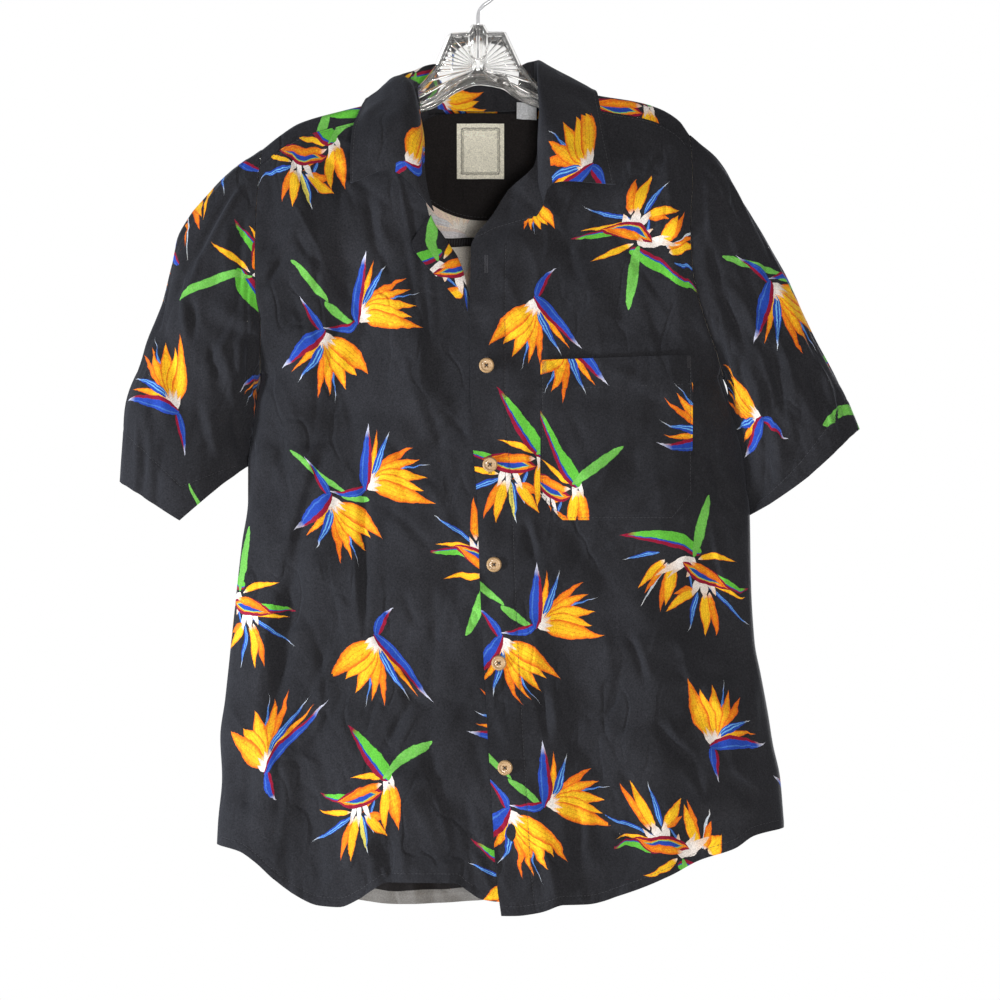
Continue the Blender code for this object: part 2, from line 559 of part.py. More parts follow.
def build_buttons():
    """Four-hole buttons: a turned disc with a raised rim, cut by four pins."""
    r, t = BUTTON_RADIUS, BUTTON_THICK
    profile = [(0, 0), (r * 0.86, 0), (r, t * 0.45), (r * 0.88, t), (r * 0.6, t * 0.72), (0, t * 0.72)]
    for number, (x, drop) in enumerate(zip(BUTTONS["x"], BUTTONS["drop"]), start=1):
        mesh = bpy.data.meshes.new(f"button_{number}")
        points = [(radius * MM, 0, height * MM) for radius, height in profile]
        mesh.from_pydata(points, [(i, i + 1) for i in range(len(points) - 1)], [])
        button = place(f"button_{number}", mesh, "coconut")
        turn = button.modifiers.new("turn", "SCREW")
        turn.steps = turn.render_steps = 14
        turn.use_merge_vertices = True
        turn.merge_threshold = 0.00001
        turn.use_normal_flip = False
        y = -(float(left_front_depth(x, drop)) + 0.6)
        button.location = (x * MM, y * MM, -drop * MM)
        button.rotation_euler = (math.pi / 2, 0, 0)
        cut = button.modifiers.new("holes", "BOOLEAN")
        cut.operation = "DIFFERENCE"
        cut.object = button_pins(number, button)


def button_pins(number, button):
    """Four pins in one mesh, which cut the button's holes."""
    work = bmesh.new()
    for turn in range(4):
        angle = math.pi / 4 + turn * math.pi / 2
        made = bmesh.ops.create_cone(work, cap_ends=True, segments=6, radius1=HOLE_RADIUS * MM,
                                     radius2=HOLE_RADIUS * MM, depth=4 * BUTTON_THICK * MM)
        shift = (HOLE_OFFSET * math.cos(angle) * MM, HOLE_OFFSET * math.sin(angle) * MM, 0)
        bmesh.ops.translate(work, verts=made["verts"], vec=shift)
    mesh = bpy.data.meshes.new(f"button_{number}_pins")
    work.to_mesh(mesh)
    work.free()
    pins = bpy.data.objects.new(mesh.name, mesh)
    bpy.data.collections["cutters"].objects.link(pins)
    pins.location, pins.rotation_euler = button.location, button.rotation_euler
    pins.hide_render = True
    pins.display_type = "WIRE"
    return pins


def build_hanger():
    """Flat hanger body: fan and arms as one outline, with rounded edges."""
    low, high = HANGER_ENDS
    arms = np.concatenate([np.linspace(low, -70, 14), np.linspace(70, high, 14)])
    slope = (ridge(arms + 1) - ridge(arms - 1)) / 2
    top = ridge(arms) + HANGER_TOP * np.sqrt(1 + slope ** 2)
    arch = np.linspace(HANGER_ARCH["x"][0], HANGER_ARCH["x"][-1], 17)
    under = top + (18 - 7 * abs(arms) / high)
    left, right = arms < 0, arms > 0
    outline = [(x, drop) for xs, drops in (
        (arms[left], top[left]), (HANGER_NECK["x"], HANGER_NECK["drop"]), (arms[right], top[right]),
        (arms[right][::-1], under[right][::-1]),
        (arch[::-1], smooth(HANGER_ARCH["x"], HANGER_ARCH["drop"], arch[::-1])),
        (arms[left][::-1], under[left][::-1])) for x, drop in zip(xs, drops)]
    work = bmesh.new()
    points = [work.verts.new((x * MM, -HANGER_HALF * MM, -drop * MM)) for x, drop in outline]
    face = work.faces.new(points)
    made = bmesh.ops.extrude_face_region(work, geom=[face])
    moved = [item for item in made["geom"] if isinstance(item, bmesh.types.BMVert)]
    bmesh.ops.translate(work, verts=moved, vec=(0, 2 * HANGER_HALF * MM, 0))
    bmesh.ops.recalc_face_normals(work, faces=work.faces)
    mesh = bpy.data.meshes.new("hanger")
    work.to_mesh(mesh)
    work.free()
    hanger = place("hanger", mesh, "clear_plastic")
    rounding = hanger.modifiers.new("rounding", "BEVEL")
    rounding.width = HANGER_BEVEL * MM
    rounding.segments = 2
    rounding.limit_method = "ANGLE"
    rounding.angle_limit = math.radians(60)


def build_hook():
    """Wire hook: up from the fan, round to one side and over to an open end."""
    turn = np.radians(np.linspace(-38, 205, 22))
    arc = np.stack([HOOK_RADIUS * np.cos(turn), HOOK_RADIUS - WIRE_RADIUS - HOOK_RADIUS * np.sin(turn)], -1)
    stem = [(0, 59.4), (0, 54), (0.8, 49), (4.5, 43.5), (10.5, 39.2)]
    curve = bpy.data.curves.new("hook", "CURVE")
    curve.dimensions = "3D"
    curve.bevel_depth = WIRE_RADIUS * MM
    curve.bevel_resolution = 2
    curve.use_fill_caps = True
    route = stem + [tuple(point) for point in arc]
    spline = curve.splines.new("POLY")
    spline.points.add(len(route) - 1)
    for point, (x, drop) in zip(spline.points, route):
        point.co = (x * MM, 0, -drop * MM, 1)
    place("hook", curve, "bright_wire")


def clear_scene():
    """Removes what the file opened with and adds the two collections."""
    for item in list(bpy.data.objects):
        bpy.data.objects.remove(item)
    for name in ("hawaiian_shirt", "cutters"):
        bpy.context.scene.collection.children.link(bpy.data.collections.new(name))


def main():
    clear_scene()
    build_fronts()
    build_back()
    build_yoke()
    build_facing()
    build_collar()
    build_lapel()
    build_sleeve("sleeve_right", -1)
    build_sleeve("sleeve_left", 1)
    build_pocket()
    build_buttons()
    build_label("neck_label", NECK_LABEL, "cream_label")
    build_label("care_label", CARE_LABEL, "grey_label")
    build_hanger()
    build_hook()


main()
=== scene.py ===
"""Printed short-sleeved shirt with a camp collar, hanging on a clear hanger: the finished looks.

Every piece is worked out in millimetres as (x, y, drop): the front faces -Y, +X is on the
right of someone who looks at the front, and a drop is a height below the origin, which is
the inner top of the hook. Meshes are written in metres with +Z up.
"""

from __future__ import annotations

import logging
import math
from collections.abc import Callable
from dataclasses import dataclass, replace
from enum import Enum, IntEnum

import bmesh
import bpy
import numpy as np
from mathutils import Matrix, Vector


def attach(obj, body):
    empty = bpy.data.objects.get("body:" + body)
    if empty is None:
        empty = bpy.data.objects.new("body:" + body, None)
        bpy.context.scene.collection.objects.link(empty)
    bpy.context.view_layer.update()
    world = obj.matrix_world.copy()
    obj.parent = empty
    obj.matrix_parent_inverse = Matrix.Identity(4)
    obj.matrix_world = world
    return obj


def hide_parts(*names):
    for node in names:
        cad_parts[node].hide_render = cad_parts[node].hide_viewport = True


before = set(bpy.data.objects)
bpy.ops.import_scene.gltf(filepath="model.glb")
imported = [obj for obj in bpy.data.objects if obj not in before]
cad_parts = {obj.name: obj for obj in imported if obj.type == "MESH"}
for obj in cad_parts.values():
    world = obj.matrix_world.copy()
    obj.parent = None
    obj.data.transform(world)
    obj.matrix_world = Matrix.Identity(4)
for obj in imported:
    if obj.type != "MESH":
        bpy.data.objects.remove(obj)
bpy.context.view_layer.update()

Array = np.ndarray
Table = dict[str, Array]
RGB = tuple[float, float, float]
MM = 0.001
NO_PRINT = 900.0            # a place in the print's plane that no motif reaches
TO_FRONT = (0.0, -1.0, 0.0)
LOG = logging.getLogger("shirt")


def table(columns: str, rows: list[tuple[float, ...]]) -> Table:
    """Turns rows of numbers into named columns.

    Args:
        columns: Column names, split by spaces.
        rows: One tuple of numbers for each row.

    Returns:
        One array for each column name.
    """
    return dict(zip(columns.split(), np.array(rows, float).T))


def tables(columns: str, groups: dict[object, list[tuple[float, ...]]]) -> dict[object, Table]:
    """Several tables that share their columns, by name."""
    return {name: table(columns, rows) for name, rows in groups.items()}


def ease(value: Array | float, low: float, high: float) -> Array:
    """Smooth step: 3t^2 - 2t^3 of the share t from low to high, held at 0 and 1 outside."""
    t = np.clip((np.asarray(value, float) - low) / (high - low), 0, 1)
    return t * t * (3 - 2 * t)


def cubic(y: Array, slope: Array, i: Array, step: Array, t: Array) -> Array:
    """Hermite piece i at share t: its two end values and end slopes, each times its own cubic in t."""
    return (y[i] * (1 + 2 * t) * (1 - t) ** 2 + slope[i] * step * t * (1 - t) ** 2
            + y[i + 1] * t * t * (3 - 2 * t) + slope[i + 1] * step * t * t * (t - 1))


def smooth(x: Array, y: Array, at: Array | float) -> Array:
    """Curve through points that never overshoots, held level past both ends.

    Each stretch is a cubic Hermite piece. A slope is the harmonic mean of the two
    neighbouring rises, or zero where they differ in sign.

    Args:
        x: Places of the points, rising.
        y: Values at the points.
        at: Where the curve is wanted.

    Returns:
        The curve's values.
    """
    at = np.clip(np.asarray(at, float), x[0], x[-1])
    step, rise = np.diff(x), np.diff(y) / np.diff(x)
    product, total = rise[:-1] * rise[1:], rise[:-1] + rise[1:]
    inner = np.where(product > 0, 2 * product / np.where(total == 0, 1, total), 0)
    slope = np.concatenate([rise[:1], inner, rise[-1:]])
    i = np.clip(np.searchsorted(x, at, side="right") - 1, 0, len(x) - 2)
    return cubic(y, slope, i, step[i], (at - x[i]) / step[i])


# --------------------------------------------------------------------------- sizes

SHOULDERS = {               # shoulder point and underarm of each armhole
    -1: dict(x=-194.4, drop=173.2, underarm=376.0),
    +1: dict(x=190.5, drop=160.0, underarm=378.0),
}

RIDGE = table("x drop", [   # crest of the cloth over the hanger's arms
    (-236, 206), (-214, 187), (-194.4, 173.2), (-179, 161), (-160, 149), (-118, 137),
    (-104, 133.5), (-59, 116.5), (-30, 112.5), (4, 111.5), (36, 111.5), (60, 113.8),
    (110, 124.6), (143, 130), (163, 136), (181, 147), (190.5, 160), (212, 180), (234, 212)])

SIDES = tables("drop x", {  # armhole edge, then side seam
    -1: [
        (173, -194.4), (221, -197.6), (266, -198.3), (301, -197.6), (332, -193.5), (376, -195.5),
        (395, -199), (435, -204.3), (454, -207), (488, -207), (527, -212.4), (592, -219.6),
        (668, -227.7), (702, -232), (737, -230.4), (778, -234), (797, -235)],
    +1: [
        (160, 190.5), (194, 192), (248, 189.5), (278, 190.5), (306, 195.5), (330, 203), (354, 212),
        (378, 220), (407, 228.6), (428, 234), (449, 238.5), (474, 242), (506, 244.8), (561, 245.7),
        (616, 249), (646, 254.7), (680, 261), (708, 265.5), (737, 271.8), (778, 275.4)],
})

DEPTHS = table("drop front back", [     # how far the body stands out, front and back
    (110, 46, 42), (250, 50, 44), (400, 51, 45), (550, 51, 45), (700, 54, 48), (860, 58, 52)])

# Broad soft folds: a line from top to foot, its half width and rise.
FOLDS = tables("top_x top_drop foot_x foot_drop half_width rise", {
    "front": [
        (-150, 160, -150, 420, 26, 5.0), (-112, 210, -128, 560, 24, -4.0),
        (-178, 390, -96, 640, 30, 5.5), (-126, 470, -112, 700, 26, -4.5),
        (-60, 250, -66, 600, 28, 3.5), (-196, 540, -196, 800, 26, 6.0),
        (-150, 640, -142, 880, 28, -6.0), (-82, 680, -52, 880, 30, 6.5),
        (172, 170, 206, 430, 18, 4.0), (214, 400, 206, 640, 26, -5.0),
        (150, 540, 170, 860, 32, 5.5), (96, 580, 108, 880, 30, -4.5),
        (222, 600, 236, 800, 26, 5.0)],
    "back": [
        (-130, 240, -150, 640, 30, 6.0), (-86, 270, -96, 860, 28, -6.0),
        (-40, 330, -34, 880, 32, 6.5), (20, 280, 26, 700, 28, -5.0),
        (66, 320, 84, 880, 32, 6.5), (118, 260, 140, 820, 28, -6.0),
        (164, 300, 196, 800, 28, 6.0), (-184, 470, -190, 830, 26, -5.0)],
})

BAND_EDGE = table("drop x", [           # free edge of the left front, neck to hem
    (128, 59), (148, 57), (176, 53.5), (190, 50.5), (212, 28), (238, 11), (249, 1), (256.5, -3.5),
    (264, -6.2), (338, -6.8), (382, -6.8), (440, -4.1), (490, -0.5), (562, 2.1), (653, 6.5),
    (746, 11.9), (827, 17.2), (856, 21.0)])

UNDER_EDGE = table("drop x", [          # free edge of the right front, neck, lapel fold, band
    (128, -56), (145, -53), (167, -49.5), (190, -51), (212, -48.5), (232, -44), (239, -42),
    (259, -27), (274, -17), (304, -8), (315, -4), (330, 7), (345, 17), (365, 23)])

HEMS = tables("x drop", {
    "front_left": [
        (20, 855), (34, 855), (56, 852), (76, 846), (95, 846), (135, 835), (170, 821),
        (196, 808), (228, 798), (247, 787), (275.4, 782)],
    "front_right": [
        (-235, 797), (-214, 801), (-199, 810), (-182, 825), (-164, 838), (-140, 848), (-123, 849),
        (-106, 842), (-93, 833), (-80, 826), (-19, 826), (-9, 833), (4, 841), (20, 843), (56, 843)],
    "back": [
        (-235, 797), (-206, 810), (-176, 827), (-146, 842), (-112, 853), (-70, 858), (-30, 857),
        (20, 853), (60, 846), (100, 838), (150, 824), (200, 802), (250, 786), (275.4, 782)],
})

LAPEL = table("drop fold outer lift", [     # turned-back facing: fold, free edge, height off the front
    (235, -41.5, -42.0, 0.5), (243, -38.0, -48.0, 2.0), (252, -31.5, -54.0, 4.0),
    (261, -25.5, -58.5, 5.5), (271, -19.0, -53.5, 5.5), (283, -13.5, -43.5, 4.5),
    (297, -10.0, -30.5, 3.0), (310, -9.2, -19.0, 1.5), (321, -9.0, -11.0, 0.5)])

COLLAR = table(
    "seam_x seam_y seam_drop roll_x roll_y roll_drop edge_x edge_y edge_drop", [
        (-38.7, -44, 232, -68.8, -48, 200, -113.1, -46, 207),
        (-44.1, -42, 213, -67.0, -50, 180, -113.3, -42, 182),
        (-47.0, -38, 191, -62.7, -48, 158, -111.9, -34, 159),
        (-47.5, -30, 168, -57.5, -38, 137, -107.0, -20, 143),
        (-51.0, -22, 145, -60.0, -24, 116, -103.0, -9, 132),
        (-53.5, -13, 126, -67.0, -10, 108, -100.0, -4, 127),
        (-54.5, 0, 112, -72.0, 3, 106, -97.0, 5, 127),
        (-53.5, 12, 120, -68.0, 14, 104, -92.0, 18, 134),
        (-48.0, 24, 130, -58.0, 24, 100, -84.0, 36, 144),
        (-32.9, 34, 132.5, -37.5, 36, 91.5, -56.0, 50, 153),
        (-16.6, 38, 133.5, -18.5, 42, 101, -28.0, 56, 159),
        (5.0, 39, 134, 0.0, 44, 108, 0.0, 58, 162),
        (28.9, 38, 133.5, 24.4, 42, 100, 31.0, 56, 159),
        (44.0, 32, 132, 45.3, 34, 90.5, 64.0, 50, 153),
        (54.5, 22, 127, 52.5, 22, 91, 92.0, 36, 142),
        (59.0, 10, 116, 53.5, 9, 92.5, 101.0, 18, 128),
        (59.5, 0, 109, 54.0, -2, 96, 105.0, 4, 119),
        (58.5, -11, 117, 53.5, -15, 106, 107.0, -6, 122),
        (56.5, -18, 131, 54.5, -25, 119, 109.5, -14, 136),
        (54.0, -27, 151, 57.5, -36, 138, 112.5, -26, 155),
        (53.0, -35, 176, 60.5, -46, 161, 116.7, -36, 178),
        (53.5, -40, 205, 62.4, -50, 186, 120.1, -42, 195),
        (58.2, -45, 225, 65.0, -50, 209, 122.7, -44, 208)])

# Sections of the sleeves from armhole to hem.
SLEEVES = tables("at top_x top_drop under_x under_drop front back shift sag_front sag_back", {
    -1: [
        (0.00, -194.7, 173.2, -196.0, 376, 34, 32, 0, 0, 0),
        (0.12, -217, 189, -199.5, 394, 36, 34, 0, 2, 1),
        (0.26, -246, 218, -203.5, 411, 38, 36, 2, 6, 3),
        (0.40, -268, 252, -206.0, 426, 39, 37, 4, 10, 5),
        (0.56, -282, 304, -207.8, 438, 38, 36, 6, 16, 8),
        (0.72, -300, 356, -209.4, 447, 37, 35, 7, 24, 12),
        (0.86, -317, 408, -210.0, 453, 36, 34, 8, 34, 18),
        (1.00, -321, 472, -210.6, 457, 35, 33, 8, 42, 26)],
    +1: [
        (0.00, 190.8, 160, 220.3, 378, 34, 32, 0, 0, 0),
        (0.12, 213, 180, 229.0, 399, 36, 34, 0, 1, 0),
        (0.26, 238, 219, 236.5, 424, 38, 36, 2, 3, 1),
        (0.40, 260, 256, 242.0, 448, 39, 37, 4, 4, 1),
        (0.56, 285, 303, 246.0, 470, 38, 36, 6, 5, 0),
        (0.72, 306, 347, 247.9, 486, 37, 35, 7, 5, -1),
        (0.86, 326, 388, 248.3, 497, 36, 34, 8, 4, -3),
        (1.00, 341, 425, 248.6, 504, 34, 32, 8, 3, -6)],
})

BUTTONS = table("x drop", [(7.9, 369.2), (11.0, 456.9), (14.5, 545.3), (18.9, 632.2), (24.2, 724.5)])
TOP_HOLE = 7.6, 279.0       # the buttonhole left open

# Small creases: a line from end to end, its half width and rise.
CREASES = tables("x drop to_x to_drop half rise", {
    "front_right": [
        (-100.5, 462, -100, 622, 2.6, -1.7), (-105.5, 470, -104.5, 610, 4, 1.5),
        (-94, 480, -95, 590, 5, 0.7), (-134, 436, -166, 566, 9, -3.4),
        (-146, 440, -178, 560, 8, 2), (-166, 548, -184, 690, 9, -3.6),
        (-176, 560, -196, 690, 7, 1.8), (-132, 610, -178, 716, 4.5, -1.7),
        (-124, 612, -168, 716, 6, 1.2), (-60, 668, -82, 708, 3.4, -1.8),
        (-54, 672, -74, 712, 4.5, 1.2), (-77, 778, -74, 830, 3, -1.8),
        (-84, 782, -88, 828, 3.4, -1.2), (-70, 776, -64, 826, 4, 1.3),
        (-162, 250, -144, 278, 4, -1.5), (-145, 270, -144, 306, 3.6, -1.3),
        (-152, 262, -138, 296, 5, 0.9), (-98, 214, -90, 270, 5, -1.7),
        (-90, 262, -76, 292, 4.4, -1.3), (-88, 214, -80, 264, 5.5, 1.1),
        (-172, 268, -192, 300, 4, -1.8), (-180, 262, -196, 286, 4, 1.3),
        (-66, 570, -52, 602, 3.2, -1.2), (-78, 640, -38, 668, 4, 1.4),
        (-76, 648, -42, 672, 3.5, -1), (-40, 560, -38, 640, 4.5, -0.8),
        (-186, 400, -170, 470, 7, -1.9), (-120, 320, -128, 380, 6, -1),
        (-56, 330, -50, 420, 6.5, 1), (-44, 690, -30, 760, 5, -1.2),
        (-200, 700, -206, 780, 5.5, -1.8), (-150, 760, -140, 838, 6, -1.5),
        (-118, 742, -112, 820, 5, 1.4), (-12, 740, -6, 820, 5, -1),
        (-216, 600, -206, 660, 5, 1.5), (-70, 440, -60, 500, 5, -0.9)],
    "front_left": [
        (41, 505, 52, 546, 3, -1.5), (47, 500, 58, 540, 3.6, 1),
        (132, 606, 148, 652, 3.6, -1.9), (140, 604, 156, 648, 4.4, 1.2),
        (70, 506, 136, 584, 11, -2.6), (86, 520, 150, 600, 10, 1.4),
        (57, 655, 64, 702, 3, -1.8), (63, 655, 70, 698, 3.8, 1.2),
        (156, 684, 188, 722, 4.4, -2), (166, 682, 196, 718, 5, 1.4),
        (126, 728, 148, 756, 4.4, -1.5), (118, 782, 150, 786, 3, -1.9),
        (120, 776, 152, 779, 4, 1.4), (97, 752, 97, 800, 5.5, 1.6),
        (88, 756, 90, 806, 4.5, -1.1), (142, 778, 226, 754, 7, 2.1),
        (146, 788, 220, 764, 5, -1.5), (240, 640, 241, 716, 3, -1.9),
        (246, 644, 247, 716, 4, 1.3), (178, 700, 200, 640, 5, -1.1),
        (110, 600, 118, 660, 6, 1), (196, 520, 214, 580, 6, -1.7),
        (206, 512, 226, 570, 6, 1.4), (176, 610, 190, 660, 5, 1.3),
        (80, 250, 92, 300, 6, -0.9), (120, 300, 132, 350, 7, -0.9),
        (168, 190, 180, 300, 6, 1.9), (176, 200, 186, 300, 5, -1.7),
        (46, 600, 52, 650, 5, 0.8), (30, 760, 36, 830, 4.5, -0.9),
        (206, 440, 222, 500, 5, -1.8), (60, 800, 70, 846, 5, 1.1),
        (180, 780, 186, 812, 5, -1.1), (36, 420, 44, 470, 4, 0.8),
        (214, 730, 250, 760, 6, -1.7), (222, 720, 256, 748, 6, 1.4)],
    "back": [
        (-150, 270, -160, 380, 6, -1.6), (-140, 270, -150, 370, 6.5, 1.4),
        (-60, 262, -64, 340, 4.5, 1.5), (-52, 262, -55, 330, 4, -1.2),
        (60, 262, 64, 350, 4.5, 1.5), (52, 262, 56, 332, 4, -1.2),
        (150, 290, 166, 400, 6.5, -1.8), (162, 290, 178, 396, 6, 1.4),
        (-110, 430, -96, 520, 6, 1.4), (-104, 430, -88, 516, 5, -1.2),
        (-20, 480, -34, 600, 6.5, -1.5), (-10, 486, -22, 596, 6, 1.2),
        (90, 460, 70, 560, 6, 1.5), (98, 466, 80, 560, 5, -1.3),
        (-170, 600, -150, 700, 6, -1.8), (-160, 600, -142, 690, 5.5, 1.3),
        (140, 600, 160, 720, 6.5, 1.7), (148, 600, 170, 716, 5.5, -1.4),
        (20, 660, 30, 780, 6, -1.4), (30, 664, 42, 776, 5.5, 1.2),
        (-70, 720, -60, 830, 6, 1.5), (-60, 726, -50, 826, 5, -1.3),
        (200, 500, 220, 600, 6.5, -1.6), (-196, 420, -190, 520, 6, 1.6),
        (100, 740, 90, 820, 5, -1.3), (-126, 760, -120, 836, 5, 1.3),
        (-30, 300, -24, 380, 6, 0.9), (10, 380, 2, 460, 6, -0.9)],
    "sleeve_right": [
        (-210, 202, -248, 276, 2.6, 1.5), (-215, 206, -254, 278, 3, -1.5),
        (-247, 270, -263, 310, 2.8, 1.5), (-253, 270, -269, 310, 3.2, -1.4),
        (-262, 304, -259, 350, 3.6, 1.7), (-255, 306, -252, 350, 4, -1.6),
        (-238, 312, -194, 336, 9, 1.9), (-240, 328, -198, 348, 8.5, -1.5),
        (-200, 334, -203, 380, 4, -2.4), (-210, 340, -214, 384, 5, 2),
        (-230, 350, -220, 386, 5.5, 1.9), (-238, 346, -230, 380, 4, -1.7),
        (-284, 330, -262, 420, 6, -1.8), (-290, 352, -276, 430, 6.5, 1.7),
        (-244, 400, -230, 452, 6, 1.6), (-252, 400, -240, 450, 5, -1.5),
        (-206, 230, -212, 300, 6, -1.7), (-222, 236, -226, 292, 5, 1.3),
        (-300, 400, -288, 466, 5, 1.4), (-216, 400, -212, 446, 4.6, -1.7)],
    "sleeve_left": [
        (206, 262, 216, 300, 5, -2), (214, 298, 240, 352, 5.5, -2.8),
        (224, 296, 252, 350, 6, 1.9), (260, 350, 276, 410, 5, -2.3),
        (268, 346, 286, 406, 6, 1.8), (286, 340, 300, 364, 4, 1.8),
        (293, 338, 308, 362, 4, -1.5), (302, 366, 322, 420, 3.4, 1.8),
        (295, 366, 312, 424, 4, -1.8), (232, 360, 240, 400, 4.5, -2.2),
        (240, 366, 252, 420, 5, 2), (204, 200, 208, 262, 4.5, 1.8),
        (198, 204, 202, 262, 4, -2), (222, 240, 236, 290, 6, 1),
        (256, 262, 270, 300, 6, -1), (262, 420, 270, 470, 5, 1.8),
        (254, 424, 262, 474, 4.6, -1.8), (282, 420, 292, 452, 5, -1.4),
        (318, 392, 330, 420, 4, -1.4), (228, 214, 250, 250, 5.5, -1.2)],
    "pocket": [
        (70, 470, 110, 496, 6, 1), (120, 440, 150, 470, 8, -0.8),
        (160, 380, 178, 420, 7, 0.8), (84, 392, 96, 440, 7, -0.7),
        (140, 484, 186, 452, 4, 0.9), (100, 376, 150, 380, 5, 0.6)],
    "collar": [
        (-104, 150, -80, 128, 5, 0.9), (-98, 176, -74, 150, 6, 0.8),
        (-108, 190, -84, 200, 5, -0.7), (-70, 112, -88, 122, 4, 0.9),
        (86, 130, 104, 152, 5, 0.8), (72, 160, 100, 186, 6, -0.7),
        (110, 170, 90, 200, 5, 0.8), (-30, 150, 20, 152, 4, 0.6)],
})


def crease_lift(rows: Table, x: Array, drop: Array) -> Array:
    """Height that the small creases add.

    Each crease is 2.2 times its rise over cosh(1.55 d / half) of the distance d from its
    line. The line bows a little, and the crease fades in and out along it.

    Args:
        rows: The crease table.
        x: Places across.
        drop: Places down.

    Returns:
        Height in millimetres, outwards.
    """
    lift = np.zeros(np.broadcast(x, drop).shape)
    for number, (x0, d0, x1, d1, half, rise) in enumerate(zip(*rows.values())):
        run = math.hypot(x1 - x0, d1 - d0)
        ux, ud = (x1 - x0) / run, (d1 - d0) / run
        along = ((x - x0) * ux + (drop - d0) * ud) / run
        bow = run * 0.05 * math.sin(number * 2.4) * np.sin(math.pi * np.clip(along, 0, 1))
        away = (x - x0) * ud - (drop - d0) * ux + bow
        fade = ease(along, -0.12, 0.35) * (1 - ease(along, 0.6, 1.12))
        lift += 2.2 * rise * fade / np.cosh(np.minimum(1.55 * abs(away / half), 20))
    return lift


def rumple(seed: int, u: Array, v: Array, size: float) -> Array:
    """Faint uneven waviness: forty seeded sine waves of 18 to 95 mm in all directions.

    Args:
        seed: Start of the random numbers.
        u: Places across, in millimetres.
        v: Places down, in millimetres.
        size: Height of a 60 mm wave.

    Returns:
        Height in millimetres.
    """
    chance = np.random.default_rng(seed)
    total = np.zeros(np.broadcast(u, v).shape)
    for length, turn, start in zip(chance.uniform(18, 95, 40), chance.uniform(0, math.pi, 40),
                                   chance.uniform(0, 2 * math.pi, 40)):
        wave = np.sin(2 * math.pi * (u * math.cos(turn) + v * math.sin(turn)) / length + start)
        total += size * (length / 60) * wave
    return total


def crumple(seed: int, u: Array, v: Array, box: tuple[float, float, float, float], size: float) -> Array:
    """Seeded short creases of uneven length, width and height, most of them steep.

    Each is a height over cosh(1.7 d / half) of the distance d from its bent line, times
    exp(-t^2) of the share t along it. A box gets one for each 900 square millimetres.

    Args:
        seed: Start of the random numbers.
        u: Places across, in millimetres.
        v: Places down, in millimetres.
        box: Lowest and highest place across, then down.
        size: Height of a middling crease.

    Returns:
        Height in millimetres.
    """
    chance = np.random.default_rng(seed)
    lift = np.zeros(np.broadcast(u, v).shape)
    for _ in range(int((box[1] - box[0]) * (box[3] - box[2]) / 900)):
        middle_u, middle_v = chance.uniform(box[0], box[1]), chance.uniform(box[2], box[3])
        turn, run, half = chance.normal(0.1, 0.65), chance.uniform(14, 55), chance.uniform(2.6, 6.5)
        rise = size * chance.choice((-1, 1)) * chance.uniform(0.4, 1.7)
        across, down = u - middle_u, v - middle_v
        along = (across * math.sin(turn) + down * math.cos(turn)) / run
        away = across * math.cos(turn) - down * math.sin(turn) + 3.0 * np.minimum(along ** 2, 9)
        lift += rise * np.exp(-np.minimum(along ** 2, 20)) / np.cosh(np.minimum(1.7 * abs(away / half), 20))
    return lift


def groove(away: Array, depth: float, half: float) -> Array:
    """A stitch line's groove: minus its depth times exp(-(away / half)^2)."""
    return -depth * np.exp(-(away / half) ** 2)


def turned_hem(x: Array, to_hem: Array) -> Array:
    """A body hem: two more layers up to 8 mm, a groove there, and puckers of 11 mm beside it."""
    layers = 0.45 * (1 - ease(to_hem, 7.2, 8.8)) + groove(to_hem - 8, 0.30, 0.8)
    ripple = np.sin((x + 2.5 * np.sin(x / 17.0)) * 2 * math.pi / 11.0)
    return layers + 0.20 * ripple * np.exp(-((to_hem - 8) / 5.0) ** 2)


# --------------------------------------------------------------------------- the hanging form

